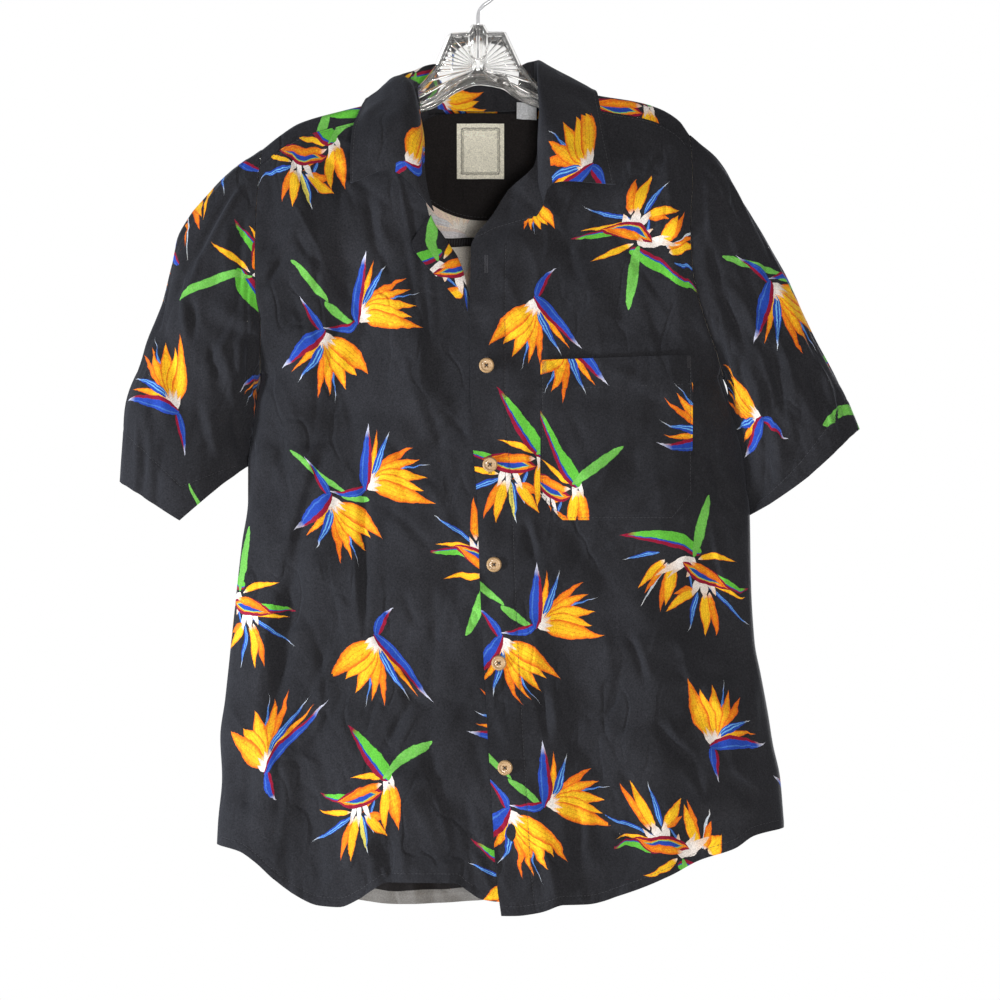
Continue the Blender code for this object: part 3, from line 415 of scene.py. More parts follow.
@dataclass(frozen=True)
class HangingForm:
    """The shirt's shape as it hangs: how deep the body is everywhere, and where its seams run."""

    ridge_radius: float = 6.0
    spread_drop: float = 100.0
    neck_mid: float = 4.0
    neck_flat: float = 30.0
    neck_fade: float = 98.0
    neck_back: float = 27.0
    neck_front: float = 8.0
    arc_steps: int = 18
    front_seam: int = 3
    neck_row: int = 4
    back_seam: int = 8
    round_from: float = 240.0
    ease_from: float = 215.0
    ease_to: float = 500.0
    band_width: float = 31.0
    band_lift: float = 2.7
    seam_gap: float = 0.5
    side_gap: float = 0.04

    def ridge(self, x: Array | float) -> Array:
        """Drop of the shoulder crest at x."""
        return smooth(RIDGE["x"], RIDGE["drop"], x)

    def side(self, hand: int, drop: Array | float) -> Array:
        """x of the armhole edge or side seam of one side."""
        return smooth(SIDES[hand]["drop"], SIDES[hand]["x"], drop)

    def band_edge(self, drop: Array | float) -> Array:
        """x of the left front's free edge."""
        return smooth(BAND_EDGE["drop"], BAND_EDGE["x"], drop)

    def under_edge(self, drop: Array | float) -> Array:
        """x of the right front's free edge, which runs under the left front at the band."""
        edge = smooth(UNDER_EDGE["drop"], UNDER_EDGE["x"], drop)
        return edge + (self.band_edge(drop) + self.band_width - edge) * ease(drop, 345, 375)

    def fold_rise(self, face: str, x: Array, drop: Array) -> Array:
        """Sum of the broad folds: each is a bell across its line that fades in and out along it."""
        rise = np.zeros(np.broadcast(x, drop).shape)
        for top_x, top, foot_x, foot, width, height in zip(*FOLDS[face].values()):
            along = np.clip((drop - top) / (foot - top), 0, 1)
            line = top_x + (foot_x - top_x) * along
            fade = ease(drop, top, top + 70) * (1 - ease(drop, foot - 70, foot))
            rise += height * fade * np.exp(-((x - line) / width) ** 2)
        return rise

    def depth(self, face: str, x: Array | float, drop: Array | float) -> Array:
        """Distance of the body's outer face from the hanger's plane.

        Over the arm it is an arc and below it opens out to the table's depth. Towards the
        side seam it closes as a flattened ellipse, and at the armhole as half an ellipse.

        Args:
            face: "front" or "back".
            x: Places across.
            drop: Places down.

        Returns:
            The depth, always positive.
        """
        x, drop = np.broadcast_arrays(np.asarray(x, float), np.asarray(drop, float))
        open_neck = 1 - ease(abs(x - self.neck_mid), self.neck_flat, self.neck_fade)
        extra = self.neck_back if face == "back" else self.neck_front
        arc_depth, arc_drop = self.ridge_radius + extra * open_neck, self.ridge_radius + 4 * open_neck
        below = np.maximum(drop - self.ridge(x), 0)
        arc = arc_depth * np.sqrt(1 - (1 - np.minimum(below / arc_drop, 1)) ** 2)
        full = smooth(DEPTHS["drop"], DEPTHS[face], drop)
        opened = 1 - np.exp(-np.maximum(below - arc_drop, 0) / self.spread_drop)
        depth = arc + (full - arc_depth) * opened
        left, right = self.side(-1, drop), self.side(1, drop)
        middle = (left + right) / 2
        reach = np.where(x < middle, middle - left, right - middle)
        across = np.clip(abs(x - middle) / reach, 0, 1)
        underarm = np.where(x < 0, SHOULDERS[-1]["underarm"], SHOULDERS[1]["underarm"])
        turn = np.clip((drop - self.round_from) / (underarm - self.round_from), 0, 1)
        edge = np.sqrt(1 - turn ** 2)
        inner = 1 - ease(drop, self.ease_from, self.ease_to)
        closing = (inner + (1 - inner) * (1 - across ** 2) ** 0.4
                   + (edge - inner) * across ** (6 + 18 * turn ** 2))
        folds = self.fold_rise(face, x, drop) * ease(1 - across, 0, 0.2) * ease(below, 10, 60)
        return depth * closing + folds

    def left_front(self, x: Array | float, drop: Array | float) -> Array:
        """Depth of the left front, which lies over the right one and stands out more at the band."""
        lift = self.band_lift * (1 - ease(x - self.band_edge(drop), 34, 80))
        return self.depth("front", x, drop) + lift

    def arc_drops(self, hand: int, step: Array | float) -> Array:
        """Drops round half an armhole: the height goes with the cosine of the step's angle."""
        shoulder = SHOULDERS[hand]
        half = (shoulder["underarm"] - shoulder["drop"]) / 2
        return shoulder["drop"] + half * (1 - np.cos(math.pi * np.asarray(step, float) / self.arc_steps))

    def yoke_seam(self, x: Array | float, step: int) -> Array:
        """Drop of a yoke edge: a set step below the crest in front, a straight line at the back."""
        low, high = SHOULDERS[-1]["x"], SHOULDERS[1]["x"]
        share = (np.asarray(x, float) - low) / (high - low)
        drops = [float(self.arc_drops(hand, step)) for hand in (-1, 1)]
        if step == self.back_seam:
            return drops[0] + (drops[1] - drops[0]) * share
        below = [drops[0] - SHOULDERS[-1]["drop"], drops[1] - SHOULDERS[1]["drop"]]
        return self.ridge(x) + below[0] + (below[1] - below[0]) * share

    def clear_of_body(self, points: Array, gap: float) -> Array:
        """Moves points that are too close to the shoulders or chest out of them by the shorter way."""
        x, y, drop = points[..., 0], points[..., 1], points[..., 2]
        front = np.maximum(self.depth("front", x, drop), self.left_front(x, drop) * (x > 0))
        depth = np.where(y < 0, front, self.depth("back", x, drop)) + gap
        short, low = depth - abs(y), drop - (self.ridge(x) - gap)
        inside = (short > 0) & (low > 0)
        y = np.where(inside & (short <= low), np.where(y < 0, -depth, depth), y)
        drop = np.where(inside & (short > low), self.ridge(x) - gap, drop)
        return np.stack([x, y, drop], -1)


FORM = HangingForm()


# --------------------------------------------------------------------------- cloth meshes

class Face(Enum):
    """Which side of the shirt a print motif is laid on."""

    FRONT = -1
    BACK = 1


def unit(vectors: Array) -> Array:
    """Vectors over their own lengths."""
    return vectors / np.maximum(np.linalg.norm(vectors, axis=-1, keepdims=True), 1e-9)


def metres(points: Array) -> Array:
    """Points in millimetres and drops as metres with +Z up."""
    return np.asarray(points, float) * (MM, MM, -MM)


def make_object(name: str, points: Array, faces: list[list[int]] | Array) -> bpy.types.Object:
    """Mesh object in the scene from points already in metres, shaded smooth."""
    mesh = bpy.data.meshes.new(name)
    mesh.from_pydata(np.asarray(points).reshape(-1, 3).tolist(), [], [list(map(int, f)) for f in faces])
    mesh.shade_smooth()
    piece = bpy.data.objects.new(name, mesh)
    bpy.context.scene.collection.objects.link(piece)
    return piece


def closed_quads(rows: int, around: int) -> Array:
    """Quads of a grid whose last column joins its first."""
    index = np.arange(rows * around).reshape(rows, around)
    after = np.roll(index, -1, 1)
    return np.stack([index[:-1], after[:-1], after[1:], index[1:]], -1).reshape(-1, 4)


def joined(parts: list[tuple[Array, Array]]) -> tuple[Array, list[list[int]]]:
    """Points and faces of several meshes as one, with each part's faces moved on to its own points."""
    faces, start = [], 0
    for points, quads in parts:
        faces += (np.asarray(quads) + start).tolist()
        start += len(points)
    return np.concatenate([points for points, _ in parts]), faces


@dataclass
class ClothSheet:
    """A cut piece of cloth: a grid of points on its outer face, closed into a thin shell.

    Rows run down and columns run to the right as seen from outside. Points are in
    millimetres as x, y, drop. A sheet with a half, -1 in front or 1 behind, stays in it.
    """

    name: str
    points: Array
    wall: float = 0.7
    keep: Array | None = None
    closed: bool = False
    one_sided: bool = True
    half: int = 0
    wrong_below: float = 0.0
    plain: Array | None = None

    def __post_init__(self) -> None:
        """Works out the outer face's normals and the lengths along the cloth."""
        grid = self.points * (1, 1, -1)
        if self.closed:
            wide = np.concatenate([grid[:, -1:], grid, grid[:, :1]], 1)
            across = np.gradient(wide, axis=1)[:, 1:-1]
        else:
            across = np.gradient(grid, axis=1)
        down = np.gradient(grid, axis=0)
        self.normals = unit(np.cross(unit(down), unit(across)))
        self.wide = self.wrapped(grid)
        rows, columns = self.wide.shape[:2]
        self.along = self.lengths(self.wide, 1, columns // 2)
        self.below = self.lengths(self.wide, 0, rows // 2)

    def wrapped(self, values: Array) -> Array:
        """A grid of values with its first column again at the end where the sheet closes round."""
        return np.concatenate([values, values[:, :1]], 1) if self.closed else values

    @staticmethod
    def lengths(grid: Array, axis: int, middle: int) -> Array:
        """Running length along one axis of a grid, counted from its middle line."""
        steps = np.linalg.norm(np.diff(grid, axis=axis), axis=-1)
        zero = np.zeros_like(np.take(steps, [0], axis))
        run = np.concatenate([zero, np.cumsum(steps, axis)], axis)
        return run - np.take(run, [middle], axis)

    def lay(self, motif: "Placement") -> Array:
        """Lays a motif on the cloth.

        From the grid point nearest to the motif's own place, lengths along the cloth are
        turned into level and upright parts, then into the motif's turned frame.

        Args:
            motif: The motif's kind, place, turn and hand.

        Returns:
            Motif coordinates in millimetres at every grid point.
        """
        rows, columns = self.wide.shape[:2]
        normals = self.wrapped(self.normals)
        away = (self.wide[..., 0] - motif.x) ** 2 + (self.wide[..., 2] + motif.drop) ** 2
        away = away + np.where(normals[..., 1] * motif.face.value > -0.15, 0, 1e6)
        r, c = divmod(int(np.argmin(away)), columns)
        near = self.wide[r, c]
        r0, r1, c0, c1 = max(r - 1, 0), min(r + 1, rows - 1), max(c - 1, 0), min(c + 1, columns - 1)
        right = unit(self.wide[r, c1] - self.wide[r, c0])
        down = unit(self.wide[r1, c] - self.wide[r0, c])
        out = normals[r, c]
        level = np.array([math.copysign(1, -motif.face.value), 0, 0])
        level = unit(level - out * (level @ out))
        upright = np.cross(out, level)
        run, fall = self.along - self.along[r, c], self.below - self.below[r, c]
        hand = -motif.face.value
        u = run * (right @ level) + fall * (down @ level) + (near[0] - motif.x) * hand
        v = run * (right @ upright) + fall * (down @ upright) + (near[2] + motif.drop)
        turn = math.radians(motif.turn)
        across = u * math.cos(turn) + v * math.sin(turn)
        up = (v * math.cos(turn) - u * math.sin(turn)) * (-1 if motif.mirrored else 1)
        return np.stack([across, up], -1) / motif.scale + motif.anchor

    def build(self, motifs: list["Placement"]) -> bpy.types.Object:
        """Makes the shell: outer face, inner face one wall inwards along the normals, and rim.

        Each cell takes the motif whose box it lies deepest in, or the plain ground.

        Args:
            motifs: The print motifs on this piece.

        Returns:
            The finished mesh object.
        """
        rows, columns = self.wide.shape[:2]
        own = self.points.shape[1]
        count = rows * own
        wide_id = np.arange(rows * columns).reshape(rows, columns)
        point_of = (np.arange(rows)[:, None] * own + np.arange(columns) % own).ravel()
        cells = np.stack([wide_id[:-1, :-1], wide_id[1:, :-1], wide_id[1:, 1:], wide_id[:-1, 1:]], -1)
        keep = np.ones(cells.shape[:2], bool) if self.keep is None else self.keep
        cells = cells[keep]
        edges = np.concatenate([cells[:, [i, (i + 1) % 4]] for i in range(4)])
        ends = point_of[edges]
        forward, backward = ends[:, 0] * count + ends[:, 1], ends[:, 1] * count + ends[:, 0]
        rim = edges[~np.isin(forward, backward)]
        rim_cells = rim[:, [1, 0, 0, 1]]
        corners = np.concatenate([cells, cells[:, ::-1], rim_cells])
        faces = point_of[corners]
        faces[len(cells):2 * len(cells)] += count
        faces[2 * len(cells):, 2:] += count
        inner = self.points - self.normals * (1, 1, -1) * self.wall
        if self.half:
            inner[..., 1] = self.half * np.maximum(self.half * inner[..., 1], 0.02)
        points = np.concatenate([self.points.reshape(-1, 3), inner.reshape(-1, 3)])
        used, faces = np.unique(faces, return_inverse=True)
        faces = faces.reshape(-1, 4)
        piece = make_object(f"{self.name}_cloth", metres(points[used]), faces)
        self.add_maps(piece.data, cells, corners, motifs)
        self.sharpen(piece.data, faces, len(cells))
        return piece

    def add_maps(self, mesh: bpy.types.Mesh, cells: Array, corners: Array, motifs: list["Placement"]) -> None:
        """Writes the maps and the share of the wrong side: outer faces first, then inner, then rim. The share
        falls towards the hem, so the light wrong side darkens there as painted shade.
        """
        rows, columns = self.wide.shape[:2]
        count, rim = len(cells), len(corners) - 2 * len(cells)
        kinds, pattern = self.choose(cells, motifs)
        material = np.concatenate([kinds, kinds, np.zeros(rim, int)])
        mesh.polygons.foreach_set("material_index", material.astype(np.int32))
        bare = np.full((rim, 4, 2), NO_PRINT)
        self.add_map(mesh, "Print", np.concatenate([pattern, pattern[:, ::-1], bare]))
        self.add_map(mesh, "Weave", np.stack([self.along, self.below], -1).reshape(-1, 2)[corners] * MM)
        share = np.stack(np.meshgrid(np.linspace(0, 1, columns), np.linspace(1, 0, rows)), -1)
        bake = share.reshape(-1, 2)[corners] * (0.48, 0.98) + (0.01, 0.01)
        bake[count:2 * count, :, 0] += 0.5
        self.add_map(mesh, "OFBake", bake)
        wrong = np.zeros(len(corners), np.float32)
        if self.one_sided:
            drop = -self.wide.reshape(-1, 3)[cells][..., 2].mean(1)
            # painted shade: on the inner faces the light wrong side gives way to the dark print from drop 560
            # to 820, darker towards the hem
            wrong[count:2 * count] = (drop > self.wrong_below) * (1 - 0.72 * ease(drop, 560.0, 820.0))
        mesh.attributes.new("wrong_side_with_painted_shade", "FLOAT", "FACE").data.foreach_set("value", wrong)

    def choose(self, cells: Array, motifs: list["Placement"]) -> tuple[Array, Array]:
        """Picks each cell's motif and gives the motif coordinates of its corners."""
        kinds = np.zeros(len(cells), int)
        pattern = np.full((len(cells), 4, 2), NO_PRINT)
        best = np.ones(len(cells))
        hidden = np.zeros(len(cells), bool)
        if self.plain is not None:
            hidden = self.wrapped(self.plain).reshape(-1)[cells].mean(1) > 0.5
        for motif in motifs:
            corners = self.lay(motif).reshape(-1, 2)[cells]
            middle, half = motif.kind.box()
            depth = np.max(abs(corners.mean(1) - middle) / half, -1)
            better = (depth < best) & ~hidden
            best[better], kinds[better], pattern[better] = depth[better], motif.kind.value, corners[better]
        return kinds, pattern

    @staticmethod
    def add_map(mesh: bpy.types.Mesh, name: str, corners: Array) -> None:
        """Adds a named map with one pair of numbers for each face corner."""
        layer = mesh.uv_layers.new(name=name)
        layer.uv.foreach_set("vector", np.ascontiguousarray(corners, np.float32).ravel())

    @staticmethod
    def sharpen(mesh: bpy.types.Mesh, faces: Array, cells: int) -> None:
        """Marks the rim's long edges sharp, so that the cut edge doesn't shade the face."""
        rim = faces[2 * cells:]
        pairs = np.concatenate([rim[:, :2], rim[:, 2:]])
        size = len(mesh.vertices)
        wanted = pairs.min(1).astype(np.int64) * size + pairs.max(1)
        ends = np.empty(2 * len(mesh.edges), np.int32)
        mesh.edges.foreach_get("vertices", ends)
        ends = ends.reshape(-1, 2)
        keys = ends.min(1).astype(np.int64) * size + ends.max(1)
        mesh.edges.foreach_set("use_edge_sharp", np.isin(keys, wanted))


# --------------------------------------------------------------------------- the print

class Ink(IntEnum):
    """The kinds of painted shape in the print."""

    FLAME = 1
    SPATHE = 2
    LEAF = 3
    WHITE = 4
    TONGUE = 5
    BOAT = 6
    STRAND = 7
    EDGED_LEAF = 8


SWELL = {                   # how a shape widens from its base and narrows to its tip
    Ink.FLAME: (0.85, 1.25), Ink.SPATHE: (0.7, 1.3), Ink.LEAF: (0.5, 0.6), Ink.WHITE: (0.45, 1.1),
    Ink.TONGUE: (0.8, 1.7), Ink.BOAT: (0.75, 0.85), Ink.STRAND: (0.35, 0.7), Ink.EDGED_LEAF: (0.4, 0.95)}


@dataclass(frozen=True)
class Petal:
    """A painted shape: base, angle of its axis, sizes, ink, tone and the side that it bends to."""

    x: float
    y: float
    angle: float
    length: float
    half: float
    bend: float
    ink: int
    tone: float = 0.0
    hand: int = 1


def petals(*rows: tuple[float, ...]) -> list[Petal]:
    """A list of petals from rows of their fields."""
    return [Petal(*row) for row in rows]


BIRD = petals(              # one flower: base at the origin, beak along +x, fan towards +y
    (-3, -3, -128, 31, 4.3, 13, 2), (4, 3, 8, 43, 2.6, -3, 1, 0.5), (2, 4, 59, 58, 1.4, 2, 5, 0.3),
    (3, 4, 39, 51, 3.7, 4, 1, 0.8), (2, 3, 51, 50, 4.6, 4, 1, 0.45), (1, 3, 69, 50, 6.6, 3, 1, 0.2),
    (1, 3, 88, 45, 7.4, 0, 1, 0.05), (0, 2, 113, 54, 8.6, -18, 1, 0.4), (5, 4, 23, 45, 3.4, -4, 5),
    (-3, -2, 118, 13, 1.9, -2, 4), (-2, -2, 92, 16, 2.2, 0, 4), (-1, -2, 64, 15, 2.2, 0, 4),
    (0, -2, 40, 13, 1.7, 1, 4), (-7, -3, 2, 61, 5.9, -2, 2))

STICKS = petals(            # green stalk in two pieces that crosses behind a pair
    (-71, 39, -34, 48, 3.6, 1, 3, 0.2), (-34, 12, -31, 33, 3.8, -1, 3))

LEVEL_STICKS = petals(      # the same stalk, lying flatter
    (-69, 8, -18, 52, 3.4, -1, 3, 0.2), (-25, -12, -9, 26, 3.6, 1, 3))

SPRAY = petals(             # leaf bent in a V, a striped pod on its left and petals that hang
    (-2, -3, 150, 36, 3.2, 9, 1, 0.1), (-36, -24, 176, 34, 2.8, -1, 1, 0.1), (-35, -28, 202, 46, 2.6, 6, 5),
    (-10, -14, 224, 20, 1.5, 0, 1, 0.8), (-11, -19, 252, 16, 1.7, 0, 5),
    (-34, -29, 250, 38, 3.8, 2, 1, 0.8), (-31, -29, 264, 39, 5, 1, 1, 0.1),
    (-25, -30, 286, 38, 3.6, -1, 5, 0.8), (-21, -30, -58, 22, 2.4, 0, 5),
    (-19, -31, -14, 22, 4.2, -2, 1, 0.8), (-21, -31, -38, 35, 4.6, -4, 1, 0.15),
    (2, -8, -64, 46, 5.6, -9, 1, 0.55), (0, -8, -92, 42, 5, 3, 1, 0.1), (-32, -20, -108, 17, 2.5, 0, 4),
    (-28, -20, -88, 20, 2.7, 0, 4), (-23, -21, -58, 17, 2.3, 0, 4), (1, 0, -100, 18, 2.7, 0, 4),
    (3, -1, -70, 15, 2, 0, 4), (-34, -14, 164, 36, 4.2, 1, 8), (-4, -14, 178, 48, 9, 0, 6),
    (-4, -7, 180, 45, 4.2, 7, 1, 0.75), (3, -5, 125, 74, 7.4, 2, 8), (-3, -3, 41, 58, 4.6, -2, 3))

CROWN = petals(             # leaf bent in a wide V over a white fan, with a pod on its right
    (-36, -2, 177, 34, 1.9, 1, 5), (-28, -13, 232, 42, 1.1, 0, 7), (-31, -9, 217, 33, 4.4, 2, 1, 0.15),
    (-29, -12, 227, 32, 3, 1, 1, 0.75), (-26, -16, 255, 40, 4.2, 1, 1, 0.75),
    (-24, -14, 263, 37, 6.2, -1, 1, 0.15), (-10, -14, -74, 26, 1.6, 0, 5), (2, -7, 24, 38, 3.2, -9, 1, 0.1),
    (9, -29, 6, 40, 2.4, -7, 1, 0.1), (11, -32, -22, 50, 2, -9, 5), (-1, -35, 192, 22, 3.8, 1, 1, 0.8),
    (-1, -36, 211, 35, 4.4, 2, 1, 0.15), (1, -36, 254, 41, 2.6, 1, 5, 0.3),
    (12, -36, 281, 39, 4.2, -1, 1, 0.75), (8, -36, 268, 40, 5.2, 1, 1, 0.1), (2, -25, -112, 17, 3.4, 0, 4),
    (7, -25, -88, 18, 3.8, 0, 4), (12, -25, -64, 15, 3, 0, 4), (-2, -6, 212, 34, 3, 3, 4, 0.3),
    (-1, -8, 196, 42, 4.6, 3, 4, 0.3), (-1, -9, 240, 20, 3.4, 0, 4, 0.3), (14, -21, -4, 42, 4, 2, 8, 0, -1),
    (-15, -13, -20, 50, 8, -3, 6, 0, -1), (-7, -10, -20, 40, 3.8, -4, 1, 0.75), (5, -1, 161, 80, 6.8, 4, 8),
    (-3, -5, 74, 60, 4.8, -1, 3))


def moved(shapes: list[Petal], x: float, y: float, turn: float, sign: int = 1) -> list[Petal]:
    """Copies of petals, mirrored in their own frame by a sign of -1, then turned and shifted."""
    cos, sin = math.cos(math.radians(turn)), math.sin(math.radians(turn))
    return [replace(p, x=x + p.x * cos - sign * p.y * sin, y=y + p.x * sin + sign * p.y * cos,
                    angle=sign * p.angle + turn, hand=p.hand * sign) for p in shapes]


class Motif(Enum):
    """The print's motifs; the value is the material's place on a cloth piece."""

    BIRD = 1
    PAIR = 2
    SPRAY = 3
    CROWN = 4
    LEVEL_PAIR = 5

    def petals(self) -> list[Petal]:
        """The motif's painted shapes, undermost first."""
        if self is Motif.BIRD:
            return BIRD
        if self in (Motif.PAIR, Motif.LEVEL_PAIR):
            sticks = STICKS if self is Motif.PAIR else LEVEL_STICKS
            return sticks + moved(BIRD, 0, 0, 90, -1) + moved(BIRD, -34, -21, 236)
        return SPRAY if self is Motif.SPRAY else CROWN

    def box(self) -> tuple[Array, Array]:
        """Middle and half size of the motif's own box, in millimetres."""
        pair = (-10, -9, 80, 78)
        numbers = {Motif.BIRD: (22, 8, 50, 52), Motif.PAIR: pair, Motif.LEVEL_PAIR: pair,
                   Motif.SPRAY: (-19, -3, 62, 66), Motif.CROWN: (-8, -12, 70, 70)}[self]
        return np.array(numbers[:2], float), np.array(numbers[2:], float)


@dataclass(frozen=True)
class Placement:
    """Where a motif's anchor lies on a piece, how the motif is turned, and its hand."""

    kind: Motif
    x: float
    drop: float
    turn: float = 0.0
    mirrored: bool = False
    face: Face = Face.FRONT
    scale: float = 1.0
    anchor: tuple[float, float] = (0.0, 0.0)


def behind(*placements: Placement) -> list[Placement]:
    """The same placements, on the back."""
    return [replace(placement, face=Face.BACK) for placement in placements]


B, P, S, C, L = Motif.BIRD, Motif.PAIR, Motif.SPRAY, Motif.CROWN, Motif.LEVEL_PAIR
PRINT: dict[str, list[Placement]] = {
    "front_right": [
        Placement(S, -131, 165), Placement(P, -105, 324.5), Placement(L, -97, 473.2), Placement(C, -212, 565),
        Placement(B, -89, 614, 321, True), Placement(C, 7.4, 560.8, 180), Placement(B, -187.2, 723.7, 30),
        Placement(S, -80.5, 731), Placement(B, 44.6, 688.3, 190, True), Placement(C, 58, 818)],
    "front_left": [
        Placement(C, 140, 267, 188), Placement(B, 52.5, 314, 310, True), Placement(S, 55, 445, -5),
        Placement(C, 195, 534.3), Placement(P, 54.3, 596.2), Placement(B, 210.1, 703.3, 25),
        Placement(P, 62.3, 752.9), Placement(C, 182, 811.6, 210), Placement(B, 306, 738.7, 190, True),
        Placement(B, 51, 225, 195, scale=0.55), Placement(B, 178, 412, 190, True, scale=0.85)],
    "pocket": [
        Placement(S, 87, 471.8, -4), Placement(B, 211, 432.4, 190, True), Placement(B, 79.5, 347, 310, True)],
    "lapel_right": [Placement(C, -35.7, 270.7, 40)],
    "yoke": [Placement(C, -136, 140, 180), Placement(S, 152, 132)] + behind(
        Placement(B, -18, 243), Placement(C, -120, 200), Placement(S, 90, 205, 180)),
    "collar": [
        Placement(B, 97, 193, 183, True, scale=1.08), Placement(B, -58.6, 191, 345, scale=0.9),
        Placement(C, -58, 105, 215, scale=0.75), Placement(B, -33, 126, 295, scale=0.75)] + behind(
        Placement(B, 0, 152, 20, scale=0.8)),
    "sleeve_right": [
        Placement(C, -209, 287, 114), Placement(B, -271, 404.2, 178, True), Placement(B, -215, 183, 60),
        Placement(C, -257.9, 472.2, 41, anchor=(13.5, 52.7)),
        Placement(B, -215.6, 400.5, 180, scale=0.9, anchor=(60, -1)), Placement(B, -282, 250, 20)] + behind(
        Placement(P, -250, 300), Placement(B, -262, 410, 220), Placement(C, -214, 232, 180)),
    "sleeve_left": [
        Placement(L, 262.6, 299.7, 20, scale=1.15, anchor=(-34, -21)),
        Placement(B, 249.9, 416, 257, True, scale=0.85),
        Placement(C, 312, 422, 111, anchor=(11, 47))] + behind(
        Placement(S, 300, 392), Placement(B, 226, 270, 300, True)),
    "back": behind(
        Placement(S, -150, 330), Placement(B, -40, 322, 30), Placement(C, 60, 330, 180),
        Placement(P, 160, 380), Placement(C, -170, 480), Placement(P, -50, 450),
        Placement(B, 50, 474, 321, True), Placement(S, 190, 520), Placement(B, -168, 610, 190, True),
        Placement(S, -60, 610), Placement(P, 70, 620), Placement(C, 210, 660, 180),
        Placement(P, -150, 740), Placement(C, -20, 770), Placement(B, 110, 760, 25),
        Placement(B, 215, 770, 200, True)),
}


# --------------------------------------------------------------------------- materials

class NodeSheet:
    """A node tree that is written line by line."""

    def __init__(self, tree: bpy.types.NodeTree) -> None:
        """Keeps the tree and its links."""
        self.tree = tree

    def put(self, kind: str, *inputs: object, **settings: object) -> bpy.types.Node:
        """Adds a node.

        Args:
            kind: The node's type without the leading ShaderNode.
            inputs: A value or an output socket for each input in order; None leaves it.
            settings: Node settings by name.

        Returns:
            The new node.
        """
        node = self.tree.nodes.new(f"ShaderNode{kind}")
        for name, value in settings.items():
            setattr(node, name, value)
        sockets = [socket for socket in node.inputs if socket.enabled]
        for socket, value in zip(sockets, inputs):
            self.feed(socket, value)
        return node

    def feed(self, socket: bpy.types.NodeSocket, value: object) -> None:
        """Links an output to a socket, or sets the socket's own value."""
        if value is None:
            return
        if isinstance(value, bpy.types.NodeSocket):
            self.tree.links.new(value, socket)
        else:
            socket.default_value = value

    def math(self, operation: str, *inputs: object, clamp: bool = False) -> bpy.types.NodeSocket:
        """Adds a Math node and gives its output."""
        return self.put("Math", *inputs, operation=operation, use_clamp=clamp).outputs[0]

    def times(self, a: object, b: object, clamp: bool = False) -> bpy.types.NodeSocket:
        """a times b."""
        return self.math("MULTIPLY", a, b, clamp=clamp)

    def scaled(self, a: object, b: object, c: object, clamp: bool = False) -> bpy.types.NodeSocket:
        """a times b, plus c."""
        return self.math("MULTIPLY_ADD", a, b, c, clamp=clamp)

    def blend(self, share: object, low: object, high: object, kind: str = "MIX") -> bpy.types.NodeSocket:
        """Mixes two colours."""
        node = self.put("Mix", data_type="RGBA", blend_type=kind)
        self.feed(node.inputs["Factor"], share)
        colours = [socket for socket in node.inputs if socket.type == "RGBA"]
        self.feed(colours[0], self.colour(low))
        self.feed(colours[1], self.colour(high))
        return [socket for socket in node.outputs if socket.type == "RGBA"][0]

    @staticmethod
    def colour(value: object) -> object:
        """Gives three numbers a full alpha, and leaves a socket alone."""
        return (*value, 1.0) if isinstance(value, tuple) and len(value) == 3 else value

    def ramp(self, share: object, stops: list[tuple[float, RGB]],
             constant: bool = False) -> bpy.types.NodeSocket:
        """Adds a colour ramp with the given stops."""
        node = self.put("ValToRGB", share)
        node.color_ramp.interpolation = "CONSTANT" if constant else "LINEAR"
        elements = node.color_ramp.elements
        while len(elements) < len(stops):
            elements.new(1.0)
        for element, (place, colour) in zip(elements, stops):
            element.position = place
            element.color = (*colour, 1.0)
        return node.outputs[0]

    def noise(self, place: object, scale: float, detail: float, roughness: float,
              output: str = "Fac") -> bpy.types.NodeSocket:
        """Adds a noise texture and gives one of its outputs."""
        node = self.put("TexNoise")
        self.fill(node, Vector=place, Scale=scale, Detail=detail, Roughness=roughness)
        return node.outputs[output]

    def bump(self, height: object, strength: float, distance: float,
             normal: object = None) -> bpy.types.NodeSocket:
        """Adds a bump, over another one where a normal is given."""
        node = self.put("Bump")
        self.fill(node, Height=height, Strength=strength, Distance=distance, Normal=normal)
        return node.outputs[0]

    def group(self, tree: bpy.types.NodeTree, **inputs: object) -> bpy.types.NodeSocket:
        """Adds a node group with its inputs by label and gives its output."""
        node = self.tree.nodes.new("ShaderNodeGroup")
        node.node_tree = tree
        self.fill(node, **inputs)
        return node.outputs[0]

    def fill(self, node: bpy.types.Node, **inputs: object) -> None:
        """Feeds a node's inputs by label."""
        for label, value in inputs.items():
            self.feed(node.inputs[label], value)


def new_group(name: str, inputs: dict[str, str], output: tuple[str, str]) -> NodeSheet:
    """Makes an empty node group with named and typed inputs and one output."""
    tree = bpy.data.node_groups.new(name, "ShaderNodeTree")
    for label, kind in inputs.items():
        tree.interface.new_socket(label, in_out="INPUT", socket_type=f"NodeSocket{kind}")
    tree.interface.new_socket(output[0], in_out="OUTPUT", socket_type=f"NodeSocket{output[1]}")
    return NodeSheet(tree)


def new_material(name: str) -> tuple[bpy.types.Material, NodeSheet, bpy.types.Node]:
    """Makes a material, and gives it with its node sheet and its shader."""
    material = bpy.data.materials.new(name)
    material.use_nodes = True
    return material, NodeSheet(material.node_tree), material.node_tree.nodes["Principled BSDF"]


